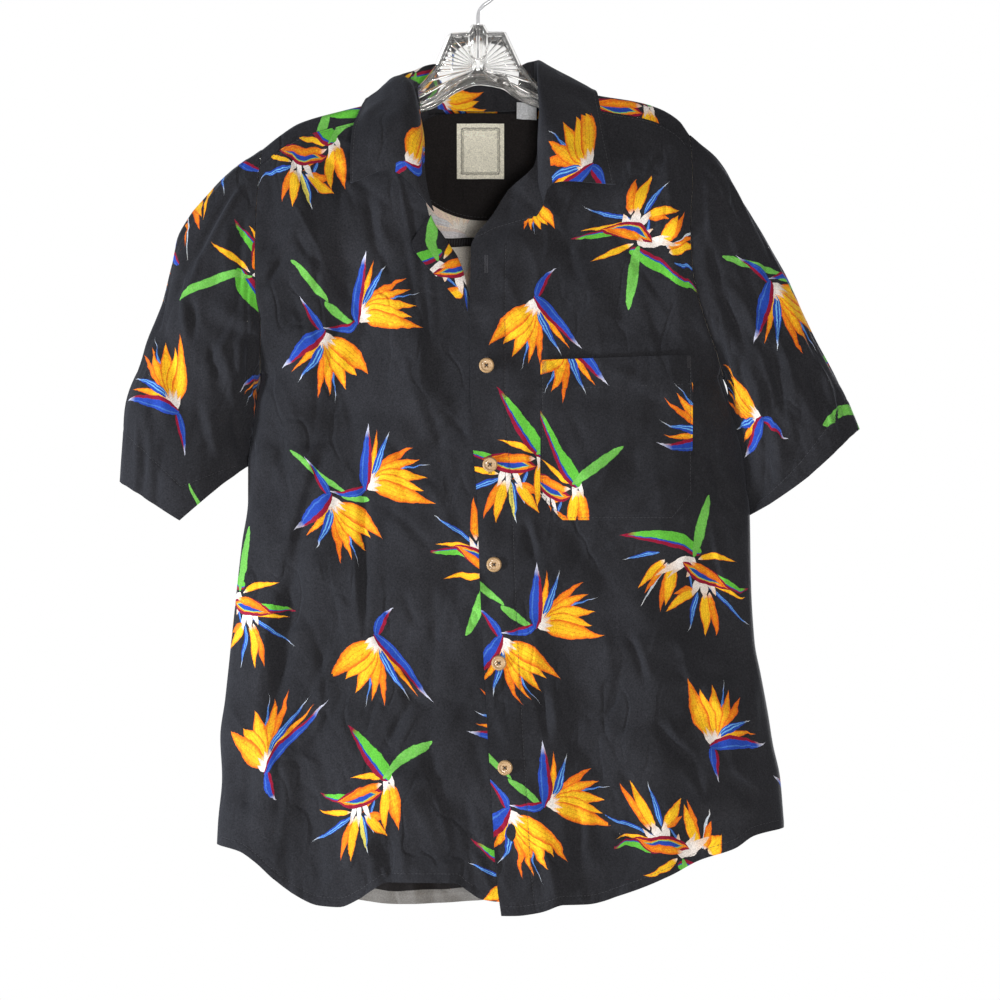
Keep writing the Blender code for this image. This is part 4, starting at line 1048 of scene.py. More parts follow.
def petal_group() -> bpy.types.NodeTree:
    """One painted shape laid over what is under it.

    s is the share of the way along the shape's axis and w the distance across it, less a
    bend that grows with s squared. The half width is the given one times a swell of
    s^rise (1 - s)^fall. Inside it the output is (s, w over half width, code).

    Returns:
        The node group.
    """
    vectors = dict.fromkeys(("Place", "Along", "Across", "Under"), "Vector")
    floats = dict.fromkeys(("Bend", "Half", "Rise", "Fall", "Code"), "Float")
    sheet = new_group("petal", vectors | floats, ("Over", "Vector"))
    source = sheet.tree.nodes.new("NodeGroupInput").outputs
    s, w = (sheet.put("VectorMath", source["Place"], source[axis], operation="DOT_PRODUCT").outputs["Value"]
            for axis in ("Along", "Across"))
    bent = sheet.scaled(sheet.times(s, s), source["Bend"], w)
    swell = sheet.times(sheet.math("POWER", s, source["Rise"]),
                       sheet.math("POWER", sheet.math("SUBTRACT", 1.0, s), source["Fall"]))
    half = sheet.times(swell, source["Half"])
    inside = sheet.math("LESS_THAN", sheet.math("ABSOLUTE", bent), half)
    shape = sheet.put("CombineXYZ", s, sheet.math("DIVIDE", bent, half), source["Code"]).outputs[0]
    mix = sheet.put("Mix", data_type="VECTOR")
    sheet.feed(mix.inputs["Factor"], inside)
    low, high = [socket for socket in mix.inputs if socket.type == "VECTOR" and socket.enabled]
    sheet.feed(low, source["Under"])
    sheet.feed(high, shape)
    target = sheet.tree.nodes.new("NodeGroupOutput")
    output = [socket for socket in mix.outputs if socket.enabled][0]
    sheet.tree.links.new(output, target.inputs[0])
    return sheet.tree


@dataclass(frozen=True)
class PrintInks:
    """The print's colours as linear values."""

    ground: RGB = (0.0225, 0.0222, 0.0255)
    yellow: RGB = (0.95, 0.55, 0.02)
    orange: RGB = (0.86, 0.235, 0.012)
    red_orange: RGB = (0.74, 0.10, 0.012)
    vein: RGB = (0.50, 0.085, 0.008)
    cream: RGB = (0.84, 0.76, 0.70)
    blue: RGB = (0.022, 0.065, 0.40)
    sky: RGB = (0.16, 0.42, 0.74)
    green: RGB = (0.125, 0.50, 0.05)
    light_green: RGB = (0.26, 0.55, 0.16)
    crimson: RGB = (0.28, 0.010, 0.035)
    wrong: RGB = (0.88, 0.82, 0.74)


INKS = PrintInks()


def ink_group() -> bpy.types.NodeTree:
    """Colours of the painted shapes from (share along, share across, code) and a noise value.

    The code's whole part is the kind of ink and its fraction is the tone. Flames go from
    yellow inside to orange at edges and tip, with thin veins; the other kinds are bands
    across the shape, and spathes and tongues run out into a pale tip.

    Returns:
        The node group.
    """
    sheet = new_group("ink", {"Shape": "Vector", "Noise": "Float", "Ground": "Color"}, ("Color", "Color"))
    source = sheet.tree.nodes.new("NodeGroupInput").outputs
    split = sheet.put("SeparateXYZ", source["Shape"]).outputs
    s, t, code, noise = split[0], split[1], split[2], source["Noise"]
    kind, tone = sheet.math("FLOOR", code), sheet.math("FRACT", code)
    edge = sheet.math("ABSOLUTE", t)
    spread = sheet.scaled(t, 0.5, 0.5)
    loose = sheet.math("SUBTRACT", noise, 0.5)

    warm = sheet.scaled(sheet.math("POWER", edge, 2.5), 0.45, sheet.times(tone, 0.62))
    warm = sheet.math("ADD", warm, sheet.times(sheet.math("POWER", s, 3.0), 0.35))
    warm = sheet.scaled(loose, 0.55, warm)
    flame = sheet.ramp(warm, [(0.0, INKS.yellow), (0.22, INKS.yellow), (0.52, INKS.orange),
                              (0.95, INKS.red_orange)])
    line = sheet.math("FRACT", sheet.scaled(t, 2.1, sheet.scaled(loose, 0.5, 0.27)))
    thin = sheet.math("LESS_THAN", sheet.math("ABSOLUTE", sheet.math("SUBTRACT", line, 0.5)), 0.055)
    flame = sheet.blend(sheet.times(thin, 0.55), flame, INKS.vein)
    root = sheet.scaled(s, -7.0, sheet.scaled(loose, 0.8, 1.0), clamp=True)
    flame = sheet.blend(root, flame, INKS.cream)
    rim = sheet.math("GREATER_THAN", edge, 0.9)
    flame = sheet.blend(sheet.times(rim, 0.6), flame, INKS.red_orange)

    pale = sheet.scaled(s, 7.0, -5.4, clamp=True)
    slit = sheet.math("LESS_THAN", sheet.math("ABSOLUTE", sheet.math("SUBTRACT", spread, 0.22)), 0.05)
    spathe = sheet.ramp(spread, [(0.0, INKS.blue), (0.70, INKS.crimson)], constant=True)
    spathe = sheet.blend(sheet.times(slit, 0.25), spathe, INKS.sky)
    spathe = sheet.blend(pale, spathe, (0.62, 0.62, 0.72))

    bright = sheet.scaled(noise, 0.9, -0.1, clamp=True)
    leaf = sheet.blend(bright, INKS.green, INKS.light_green)
    leaf = sheet.blend(sheet.times(rim, 0.4), leaf, (0.05, 0.24, 0.03))
    banded = sheet.ramp(spread, [(0.0, INKS.green), (0.62, INKS.blue), (0.74, INKS.crimson)], constant=True)
    banded = sheet.blend(sheet.scaled(s, 9.0, -7.2, clamp=True), banded, INKS.crimson)

    white = sheet.blend(sheet.scaled(s, 1.6, -0.75, clamp=True), INKS.cream, (0.80, 0.45, 0.22))

    tongue = sheet.ramp(spread, [(0.0, INKS.blue), (0.34, INKS.sky), (0.52, INKS.blue), (0.72, INKS.sky),
                                 (0.86, INKS.blue)], constant=True)
    gold = sheet.times(sheet.math("GREATER_THAN", tone, 0.5), sheet.math("LESS_THAN", t, 0.2))
    tongue = sheet.blend(gold, tongue, (0.72, 0.62, 0.12))
    tongue = sheet.blend(pale, tongue, (0.66, 0.70, 0.74))

    end = sheet.scaled(s, 1.9, -0.95)
    ring = sheet.scaled(end, end, edge)
    boat = sheet.ramp(ring, [(0.0, INKS.blue), (0.44, INKS.light_green), (0.56, INKS.orange),
                             (0.93, INKS.crimson)], constant=True)
    keel = sheet.math("GREATER_THAN", t, 0.62)
    boat = sheet.blend(keel, boat, INKS.crimson)
    strand = sheet.blend(pale, (0.55, 0.60, 0.66), (0.74, 0.74, 0.74))

    result: object = source["Ground"]
    colours = {Ink.FLAME: flame, Ink.SPATHE: spathe, Ink.LEAF: leaf, Ink.WHITE: white, Ink.TONGUE: tongue,
               Ink.BOAT: boat, Ink.STRAND: strand, Ink.EDGED_LEAF: banded}
    for number, colour in colours.items():
        result = sheet.blend(sheet.math("COMPARE", kind, float(number), 0.4), result, colour)
    sheet.tree.links.new(result, sheet.tree.nodes.new("NodeGroupOutput").inputs[0])
    return sheet.tree


@dataclass(frozen=True)
class Cotton:
    """Shirting: fine plain weave, faint fading in broad patches that also stand in as painted shade of
    crumples, small dents, dull with a soft sheen.
    """

    name: str
    roughness: float = 0.82
    sheen: float = 0.12
    thread: float = 0.00045
    motif: Motif | None = None
    tint: RGB = INKS.ground
    mottle: float = 0.34
    wrong: RGB = INKS.wrong

    def material(self, petal: bpy.types.NodeTree, ink: bpy.types.NodeTree) -> bpy.types.Material:
        """Builds the cloth's material.

        The ground is mottled by two noises. Painted shapes come from the piece's Print map
        and show faintly on the wrong side, whose share falls towards the hem as painted shade.
        The weave is two crossed waves on the Weave map.

        Args:
            petal: Group that draws one painted shape.
            ink: Group that colours the shapes.

        Returns:
            The material.
        """
        material, sheet, shader = new_material(self.name)
        place = sheet.put("TexCoord").outputs["Object"]
        fine = sheet.noise(place, 900.0, 3.0, 0.7)
        # broad darker and lighter patches: faint fading, and painted shade in the look of crumples
        fading_and_painted_shade = sheet.noise(place, 14.0, 3.0, 0.55)
        grain = sheet.noise(place, 640.0, 3.0, 0.8)
        grain = sheet.scaled(grain, 2.8, -0.9, clamp=True)
        thin, full = (tuple(part * (1 + side * self.mottle) for part in self.tint) for side in (1, -1))
        colour: object = sheet.blend(grain, full, thin)
        if self.motif is not None:
            colour = self.painted(sheet, petal, ink, colour)
        ghost = sheet.blend(0.24, self.wrong, colour)
        # share of the wrong side, which also carries painted shade towards the hem
        side = sheet.put("Attribute", attribute_name="wrong_side_with_painted_shade").outputs["Fac"]
        colour = sheet.blend(side, colour, ghost)
        shade = sheet.scaled(fine, 1.4, 0.3)
        shade = sheet.times(shade, sheet.scaled(fading_and_painted_shade, 0.9, 0.55))
        colour = sheet.blend(1.0, colour, shade, "MULTIPLY")
        sheet.feed(shader.inputs["Base Color"], colour)
        shader.inputs["Roughness"].default_value = self.roughness
        shader.inputs["Specular IOR Level"].default_value = 0.10
        shader.inputs["Sheen Weight"].default_value = self.sheen
        shader.inputs["Sheen Roughness"].default_value = 0.45
        shader.inputs["Sheen Tint"].default_value = (0.62, 0.66, 0.78, 1.0)
        sheet.feed(shader.inputs["Normal"], self.surface(sheet, place))
        return material

    def surface(self, sheet: NodeSheet, place: bpy.types.NodeSocket) -> bpy.types.NodeSocket:
        """Bumps: crossed waves of the thread's pitch over dents and patches of a second noise's valleys."""
        weave = sheet.put("UVMap", uv_map="Weave").outputs["UV"]
        turn = 2 * math.pi / self.thread
        warp, weft = (sheet.math("SINE", sheet.times(part, turn))
                      for part in sheet.put("SeparateXYZ", weave).outputs[:2])
        threads = sheet.times(warp, weft)
        dents = sheet.noise(place, 60.0, 4.0, 0.6)
        long = sheet.put("Mapping", place, None, None, (1.0, 1.0, 0.5)).outputs[0]
        ridge = sheet.math("SUBTRACT", sheet.noise(long, 24.0, 2.0, 0.5), 0.5)
        ridge = sheet.times(sheet.math("ABSOLUTE", ridge), 26.0, clamp=True)
        patch = sheet.scaled(sheet.noise(place, 9.0, 1.0, 0.5), 7.0, -3.2, clamp=True)
        crack = sheet.times(sheet.math("SUBTRACT", ridge, 1.0), patch)
        dents = sheet.math("ADD", dents, sheet.times(crack, 2.7))
        return sheet.bump(dents, 0.45, 0.0009, sheet.bump(threads, 0.5, 0.00004))

    def painted(self, sheet: NodeSheet, petal: bpy.types.NodeTree, ink: bpy.types.NodeTree,
                ground: bpy.types.NodeSocket) -> bpy.types.NodeSocket:
        """The motif's shapes, each laid over the ones before it, in a slightly shaken frame."""
        pattern = sheet.put("UVMap", uv_map="Print").outputs["UV"]
        shake = sheet.noise(pattern, 0.11, 2.0, 0.6, "Color")
        steps = (("SUBTRACT", (0.5, 0.5, 0.5)), ("MULTIPLY", (2.6, 2.6, 0.0)), ("ADD", pattern),
                 ("MULTIPLY", (1.0, 1.0, 0.0)), ("ADD", (0.0, 0.0, 1.0)))
        for operation, value in steps:
            shake = sheet.put("VectorMath", shake, value, operation=operation).outputs[0]
        under: object = (0.0, 0.0, 0.0)
        for p in self.motif.petals():
            turn = math.radians(p.angle)
            cos, sin = math.cos(turn), math.sin(turn)
            right, up = -sin * p.hand, cos * p.hand
            rise, fall = SWELL[Ink(p.ink)]
            top = (rise / (rise + fall)) ** rise * (fall / (rise + fall)) ** fall
            along = (cos / p.length, sin / p.length, -(p.x * cos + p.y * sin) / p.length)
            across = (right, up, -(p.x * right + p.y * up))
            under = sheet.group(petal, Place=shake, Along=along, Across=across, Bend=-p.bend,
                                Half=p.half / top, Rise=rise, Fall=fall, Code=p.ink + 0.9 * p.tone,
                                Under=under)
        streak = sheet.noise(pattern, 0.35, 2.0, 0.6)
        return sheet.group(ink, Shape=under, Noise=streak, Ground=ground)


@dataclass(frozen=True)
class Gloss:
    """A hard or glossy finish whose colour wanders a little."""

    name: str
    low: RGB
    high: RGB
    roughness: float
    scale: float = 400.0
    stretch: tuple[float, float, float] = (1.0, 1.0, 1.0)
    metallic: float = 0.0
    transmission: float = 0.0
    coat: float = 0.0
    bump: float = 0.0

    def material(self) -> bpy.types.Material:
        """Colour and roughness from one stretched noise, with a small bump where asked."""
        material, sheet, shader = new_material(self.name)
        place = sheet.put("TexCoord").outputs["Object"]
        place = sheet.put("Mapping", place, None, None, self.stretch).outputs[0]
        noise = sheet.noise(place, self.scale, 4.0, 0.6)
        share = sheet.scaled(noise, 2.4, -0.7, clamp=True)
        sheet.feed(shader.inputs["Base Color"], sheet.blend(share, self.low, self.high))
        rough = sheet.scaled(noise, 0.5 * self.roughness, 0.75 * self.roughness)
        sheet.feed(shader.inputs["Roughness"], rough)
        shader.inputs["Metallic"].default_value = self.metallic
        shader.inputs["Transmission Weight"].default_value = self.transmission
        shader.inputs["Coat Weight"].default_value = self.coat
        shader.inputs["IOR"].default_value = 1.49
        if self.bump:
            sheet.feed(shader.inputs["Normal"], sheet.bump(noise, 0.6, self.bump))
        return material


class Slot(Enum):
    """Material slots of the record."""

    PRINTED = "printed_cotton"
    PLAIN = "plain_cotton"
    COCONUT = "coconut"
    CREAM = "cream_label"
    GREY = "grey_label"
    PLASTIC = "clear_plastic"
    WIRE = "bright_wire"


class Finishes:
    """Every finish, made once and shared."""

    def __init__(self) -> None:
        """Makes the node groups and the materials of each slot."""
        petal, ink = petal_group(), ink_group()
        cloths = [Cotton("printed_cotton")]
        cloths += [Cotton(f"printed_cotton_{motif.name.lower()}", motif=motif) for motif in Motif]
        self.sets: dict[Slot, list[bpy.types.Material]] = {
            Slot.PRINTED: [cloth.material(petal, ink) for cloth in cloths],
            Slot.PLAIN: [Cotton("plain_cotton", tint=(0.0135, 0.0115, 0.0115)).material(petal, ink)],
            Slot.CREAM: [Cotton("cream_label", tint=(0.86, 0.82, 0.68), thread=0.0006,
                                mottle=0.08).material(petal, ink)],
            Slot.GREY: [Cotton("grey_label", tint=(0.58, 0.59, 0.61), sheen=0.3,
                               mottle=0.08).material(petal, ink)],
            Slot.COCONUT: [Gloss("coconut", (0.36, 0.21, 0.09), (0.56, 0.35, 0.165), 0.42, 160.0,
                                 (1.0, 1.0, 6.0), coat=0.15, bump=0.00008).material()],
            Slot.PLASTIC: [Gloss("clear_plastic", (0.95, 0.94, 0.92), (0.99, 0.98, 0.97), 0.06, 60.0,
                                 transmission=0.97).material()],
            Slot.WIRE: [Gloss("bright_wire", (0.72, 0.72, 0.74), (0.84, 0.84, 0.86), 0.16, 300.0,
                              metallic=1.0).material()],
        }
        self.thread = Gloss("sewing_thread", (0.035, 0.034, 0.038), (0.060, 0.058, 0.066), 0.7,
                            2500.0).material()
        self.dark = Gloss("dark_thread", (0.010, 0.009, 0.008), (0.030, 0.024, 0.020), 0.7, 2500.0).material()

    def dress(self, piece: bpy.types.Object, slot: Slot, replaced: str = "") -> bpy.types.Object:
        """Gives a piece its slot and materials, its body and the node that it replaces, if any."""
        for material in self.sets[slot]:
            piece.data.materials.append(material)
        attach(piece, "root")
        if replaced:
            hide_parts(replaced)
        return piece


# --------------------------------------------------------------------------- sewing

@dataclass
class Seam:
    """A run of stitches along a path that lies on the cloth."""

    path: Array
    normals: Array
    pitch: float = 3.3
    length: float = 2.5
    thick: float = 0.24
    across: bool = False

    def stitches(self) -> tuple[Array, Array]:
        """Places one small capsule for each stitch.

        The path is cut at even lengths. Each capsule is a ring profile of half width
        thick * sqrt(1 - u^2) carried along the stitch's own direction, half sunk in the cloth.

        Returns:
            Points in millimetres and faces.
        """
        path, normals = self.path * (1, 1, -1), self.normals * (1, 1, -1)
        run = np.concatenate([[0], np.cumsum(np.linalg.norm(np.diff(path, axis=0), axis=-1))])
        at = np.arange(self.pitch / 2, run[-1], self.pitch)
        middle = np.stack([np.interp(at, run, path[:, k]) for k in range(3)], -1)
        ahead = np.stack([np.interp(at + 0.5, run, path[:, k]) for k in range(3)], -1)
        out = unit(np.stack([np.interp(at, run, normals[:, k]) for k in range(3)], -1))
        way = unit(ahead - middle + 1e-6)
        side = unit(np.cross(out, way))
        if self.across:
            way, side = side, way
        u = np.array([-0.97, -0.6, 0.6, 0.97])
        angle = np.linspace(0, 2 * math.pi, 6)[:-1]
        ring = np.sqrt(1 - u ** 2)[:, None] * self.thick
        lengthwise = (u * self.length / 2)[:, None] * np.ones(5)
        sideways, upward = ring * np.cos(angle), ring * np.sin(angle) * 0.8 + self.thick * 0.3
        points = (middle[:, None, None] + way[:, None, None] * lengthwise[..., None]
                  + side[:, None, None] * sideways[..., None] + out[:, None, None] * upward[..., None])
        base = closed_quads(4, 5)
        if self.across:
            base = base[:, ::-1]
        quads = (base[None] + 20 * np.arange(len(at))[:, None, None]).reshape(-1, 4)
        return points.reshape(-1, 3) * (1, 1, -1), quads


@dataclass
class Stitching:
    """Stitches of one piece, joined into one mesh."""

    name: str
    seams: list[Seam]
    dark: bool = False

    def build(self, finishes: Finishes) -> bpy.types.Object:
        """Joins all stitches; the short ends of each capsule are closed by a fan."""
        points, faces = joined([seam.stitches() for seam in self.seams])
        starts = range(0, len(points), 20)
        faces += [[start + 15 + c for c in range(5)] for start in starts]
        faces += [[start + c for c in range(4, -1, -1)] for start in starts]
        piece = make_object(self.name, metres(points), faces)
        outwards(piece)
        piece.data.materials.append(finishes.dark if self.dark else finishes.thread)
        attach(piece, "root")
        return piece


def outwards(piece: bpy.types.Object, weld: bool = False) -> None:
    """Turns all faces of a mesh outwards, after merging its doubled points where asked."""
    work = bmesh.new()
    work.from_mesh(piece.data)
    if weld:
        bmesh.ops.remove_doubles(work, verts=work.verts, dist=1e-6)
        bmesh.ops.dissolve_degenerate(work, edges=work.edges, dist=1e-7)
    bmesh.ops.recalc_face_normals(work, faces=work.faces)
    work.to_mesh(piece.data)
    work.free()


def path_on(height: Callable[[Array, Array], Array], x: Array, drop: Array, sign: int) -> tuple[Array, Array]:
    """Points and normals on a height field y = sign * height(x, drop).

    Args:
        height: Depth of the cloth's outer face.
        x: Places across.
        drop: Places down.
        sign: -1 for the front and +1 for the back.

    Returns:
        Points and outward normals as x, y, drop.
    """
    y = height(x, drop)
    slope_x = (height(x + 0.5, drop) - height(x - 0.5, drop))
    slope_d = (height(x, drop + 0.5) - height(x, drop - 0.5))
    points = np.stack([x, sign * y, drop], -1)
    normals = unit(np.stack([-slope_x, np.full_like(x, float(sign)), -slope_d], -1))
    return points, normals


def grid_of(x: Array, y: Array, drop: Array) -> Array:
    """Points of a grid with its columns in reverse, as a piece that is seen from the other side needs."""
    return np.stack([x, y, drop], -1)[:, ::-1]


def marks(length: float, step: float, start: tuple[float, ...], end: tuple[float, ...]) -> Array:
    """Shares of a length: set distances from both ends with even steps between them."""
    first, last = start[-1], length - end[-1]
    middle = np.linspace(first, last, max(int((last - first) / step), 2) + 1)[1:-1]
    places = np.concatenate([start, middle, length - np.array(end[::-1], float)])
    return places / length


def around_corners(corners: list[tuple[float, float]], count: int) -> tuple[Array, Array, Array]:
    """Places along a line from corner to corner: the corner number with its fraction, x and drop."""
    at = np.linspace(0, len(corners) - 1, count)
    x, drop = (np.interp(at, np.arange(len(corners)), column) for column in zip(*corners))
    return at, x, drop


HEM_LINE = 8.0              # stitch line of a body hem, up from its edge
HEM_MARKS = (0, 0.6, 2, 4.5, 7.2, 8, 8.8, 11)
EDGE_MARKS = (0, 0.5, 1.5, 3.5)
FACING_DEPTH = 4.6          # from the back's outer face in to the neck facing


class SewnPiece:
    """What every cut piece of cloth shares: its mesh, finish and place in the model."""

    name: str
    slot: Slot = Slot.PRINTED
    wall: float = 0.7

    def height(self, x: Array, drop: Array) -> Array:
        """Depth of the piece's outer face, which each stitched piece works out for itself."""
        raise NotImplementedError

    def seam(self, x: Array, drop: Array, sign: int = -1, under: float = 0.0, **how: float) -> Seam:
        """Stitches along a line on the front or back face, or seen from inside, so far under it."""
        points, normals = path_on(self.height, x, drop, sign)
        return Seam(points - normals * under, -normals if under else normals, **how)

    def finish(self, finishes: Finishes, sheet: ClothSheet, flat: tuple[float, float], held: str,
               area: float | None = None, rests_on: list[str] | None = None) -> bpy.types.Object:
        """Args:
            finishes: The shared finishes.
            sheet: The piece's grid.
            flat: Width and length of its cut, in metres. Not used.
            held: How it is held. Not used.
            area: Flat area where the cut isn't a rectangle, in square metres. Not used.
            rests_on: Pieces that it lies on. Not used.

        Returns:
            The finished object.
        """
        piece = sheet.build(PRINT.get(sheet.name, []))
        finishes.dress(piece, self.slot, sheet.name)
        LOG.info("%s: %d faces", sheet.name, len(piece.data.polygons))
        return piece


def settle(offsets: Array, shares: Array, levels: Array, inner: Callable[[Array], Array],
           outer: Callable[[Array], Array], top: Callable[[Array], Array],
           hem: Callable[[Array], Array]) -> tuple[Array, Array]:
    """x and drop of a grid between two side lines, a top line and a hem line.

    Each column keeps a set offset from the inner line plus a share of what is left, and
    each row a share of the way from top to hem. Both depend on each other, so the two
    steps are repeated until they agree.

    Args:
        offsets: Distance of each column from the inner line.
        shares: Share of each column in the rest of the width.
        levels: Share of each row in the height.
        inner: x of the inner line at a drop.
        outer: x of the outer line at a drop.
        top: Drop of the top line at an x.
        hem: Drop of the hem at an x.

    Returns:
        x and drop on the grid.
    """
    reach = offsets[-1]
    sign = np.sign(float(outer(np.array(500.0)) - inner(np.array(500.0))))
    x = np.broadcast_to(inner(np.array(300.0)) + sign * offsets
                        + (outer(np.array(300.0)) - inner(np.array(300.0)) - sign * reach) * shares,
                        (len(levels), len(shares)))
    for _ in range(14):
        drop = top(x) + (hem(x) - top(x)) * levels[:, None]
        x = inner(drop) + sign * offsets + (outer(drop) - inner(drop) - sign * reach) * shares
    drop = drop.copy()
    drop[0] += FORM.seam_gap
    return x, drop


@dataclass
class FrontPanel(SewnPiece):
    """One front, from the yoke seam to the curved hem and from its free edge to the side seam."""

    hand: int
    step: float = 2.1

    def __post_init__(self) -> None:
        """Takes the piece's name from its hand."""
        self.name = "front_left" if self.hand > 0 else "front_right"

    def edge(self, drop: Array) -> Array:
        """x of the free edge."""
        return FORM.band_edge(drop) if self.hand > 0 else FORM.under_edge(drop)

    def hem(self, x: Array) -> Array:
        """Drop of the hem."""
        return smooth(HEMS[self.name]["x"], HEMS[self.name]["drop"], x)

    def neck_seam(self, x: Array) -> Array:
        """Drop of the left front's seam below its plain neck band."""
        return smooth(np.array([-8.0, 4, 14, 30, 52, 62]), np.array([259.0, 254, 249, 244, 236, 222]), x)

    def height(self, x: Array, drop: Array) -> Array:
        """Depth of the outer face with creases, seam grooves and puckers.

        Creases fade out within 14 mm of the side seam, at the yoke seam and, on the right
        front, where the other front covers it. A hem is two more layers thick up to its
        stitch line, and each stitch line is a groove with a ripple beside it.
        """
        base = FORM.left_front(x, drop) if self.hand > 0 else FORM.depth("front", x, drop)
        away = abs(FORM.side(self.hand, drop) - x)
        fade = ease(away, 1.5, 16) * ease(drop - FORM.yoke_seam(x, FORM.front_seam), 0, 12)
        if self.hand < 0:
            fade = fade * (1 - ease(x - FORM.band_edge(drop), -9, 0) * ease(drop, 330, 350))
        small = crease_lift(CREASES[self.name], x, drop) + rumple(7 + self.hand, x, drop, 0.28)
        box = (-10.0, 280.0, 130.0, 860.0) if self.hand > 0 else (-240.0, 60.0, 130.0, 860.0)
        small = small + crumple(17 + self.hand, x, drop, box, 0.95 if self.hand > 0 else 1.25)
        detail = turned_hem(x, self.hem(x) - drop)
        if self.hand > 0:
            band = x - FORM.band_edge(drop) - FORM.band_width
            low = ease(drop, 244, 262)
            beat = np.sin((drop + 3 * np.sin(drop / 23.0)) * 2 * math.pi / 10.0)
            detail = detail + low * (0.25 * (1 - ease(band, -0.8, 0.8)) + groove(band, 0.28, 0.8)
                                     + 0.16 * beat * np.exp(-(band / 5.0) ** 2))
            neck = self.neck_seam(x) - drop
            near = (1 - ease(x, 58, 64)) * ease(neck, -1.2, 1.2) * (1 - ease(drop, 256, 262))
            detail = detail + 0.7 * near
        return base + small * fade + detail * ease(away, 1.0, 6.0)

    def plain(self, x: Array, drop: Array) -> Array:
        """True where the left front's plain neck band covers the print."""
        return (self.hand > 0) & (x < 62) & (drop < self.neck_seam(x))

    def build(self, finishes: Finishes) -> bpy.types.Object:
        """Makes the panel and its stitching."""
        if self.hand > 0:
            near = np.concatenate([
                [0, 0.5, 1.6], np.arange(4, 29, 3.0), [29.8, 30.5, 31, 31.5, 32.2, 34, 36]])
        else:
            near = np.array([0, 0.5, 1.6, 3.6, 6.0])
        rest = marks(216, self.step, (0,), EDGE_MARKS)
        offsets = np.concatenate([near, np.full(len(rest) - 1, near[-1])])
        shares = np.concatenate([np.zeros(len(near)), rest[1:]])
        levels = marks(640, self.step, (0, 0.8, 2.0, 4.0), HEM_MARKS)
        x, drop = settle(offsets, shares, levels, self.edge, lambda d: FORM.side(self.hand, d),
                         lambda a: FORM.yoke_seam(a, FORM.front_seam), self.hem)
        y = -np.maximum(self.height(x, drop), FORM.side_gap)
        grid = np.stack([x, y, drop], -1)
        grid = grid if self.hand > 0 else grid[:, ::-1]
        sheet = ClothSheet(self.name, grid, self.wall, half=-1)
        sheet.plain = self.plain(grid[..., 0], grid[..., 2])
        piece = self.finish(finishes, sheet, (0.285, 0.67), "hung", area=0.168)
        Stitching(f"{self.name}_stitches", self.seams()).build(finishes)
        return piece

    def seams(self) -> list[Seam]:
        """Hem stitches, and on the left front the band's stitches, neck seam and buttonholes."""
        across = np.linspace(*((24.0, 270.0) if self.hand > 0 else (-230.0, -3.0)), 260)
        strap = np.linspace(*((66.0, 186.0) if self.hand > 0 else (-190.0, -62.0)), 140)
        seams = [self.seam(across, self.hem(across) - HEM_LINE),
                 self.seam(strap, FORM.yoke_seam(strap, FORM.front_seam) + 2.4)]
        if self.hand > 0:
            down, neck = np.linspace(262.0, 842.0, 420), np.linspace(-4.0, 56.0, 90)
            seams += [self.seam(FORM.band_edge(down) + FORM.band_width, down),
                      self.seam(neck, self.neck_seam(neck) - 1.6)]
            for x, drop in [*zip(*BUTTONS.values()), TOP_HOLE]:
                line = np.linspace(drop - 8.0, drop + 8.0, 12)
                seams += [self.seam(np.full(12, x + shift), line, pitch=0.55, length=1.5, thick=0.26,
                                    across=True) for shift in (-0.9, 0.9)]
        return seams


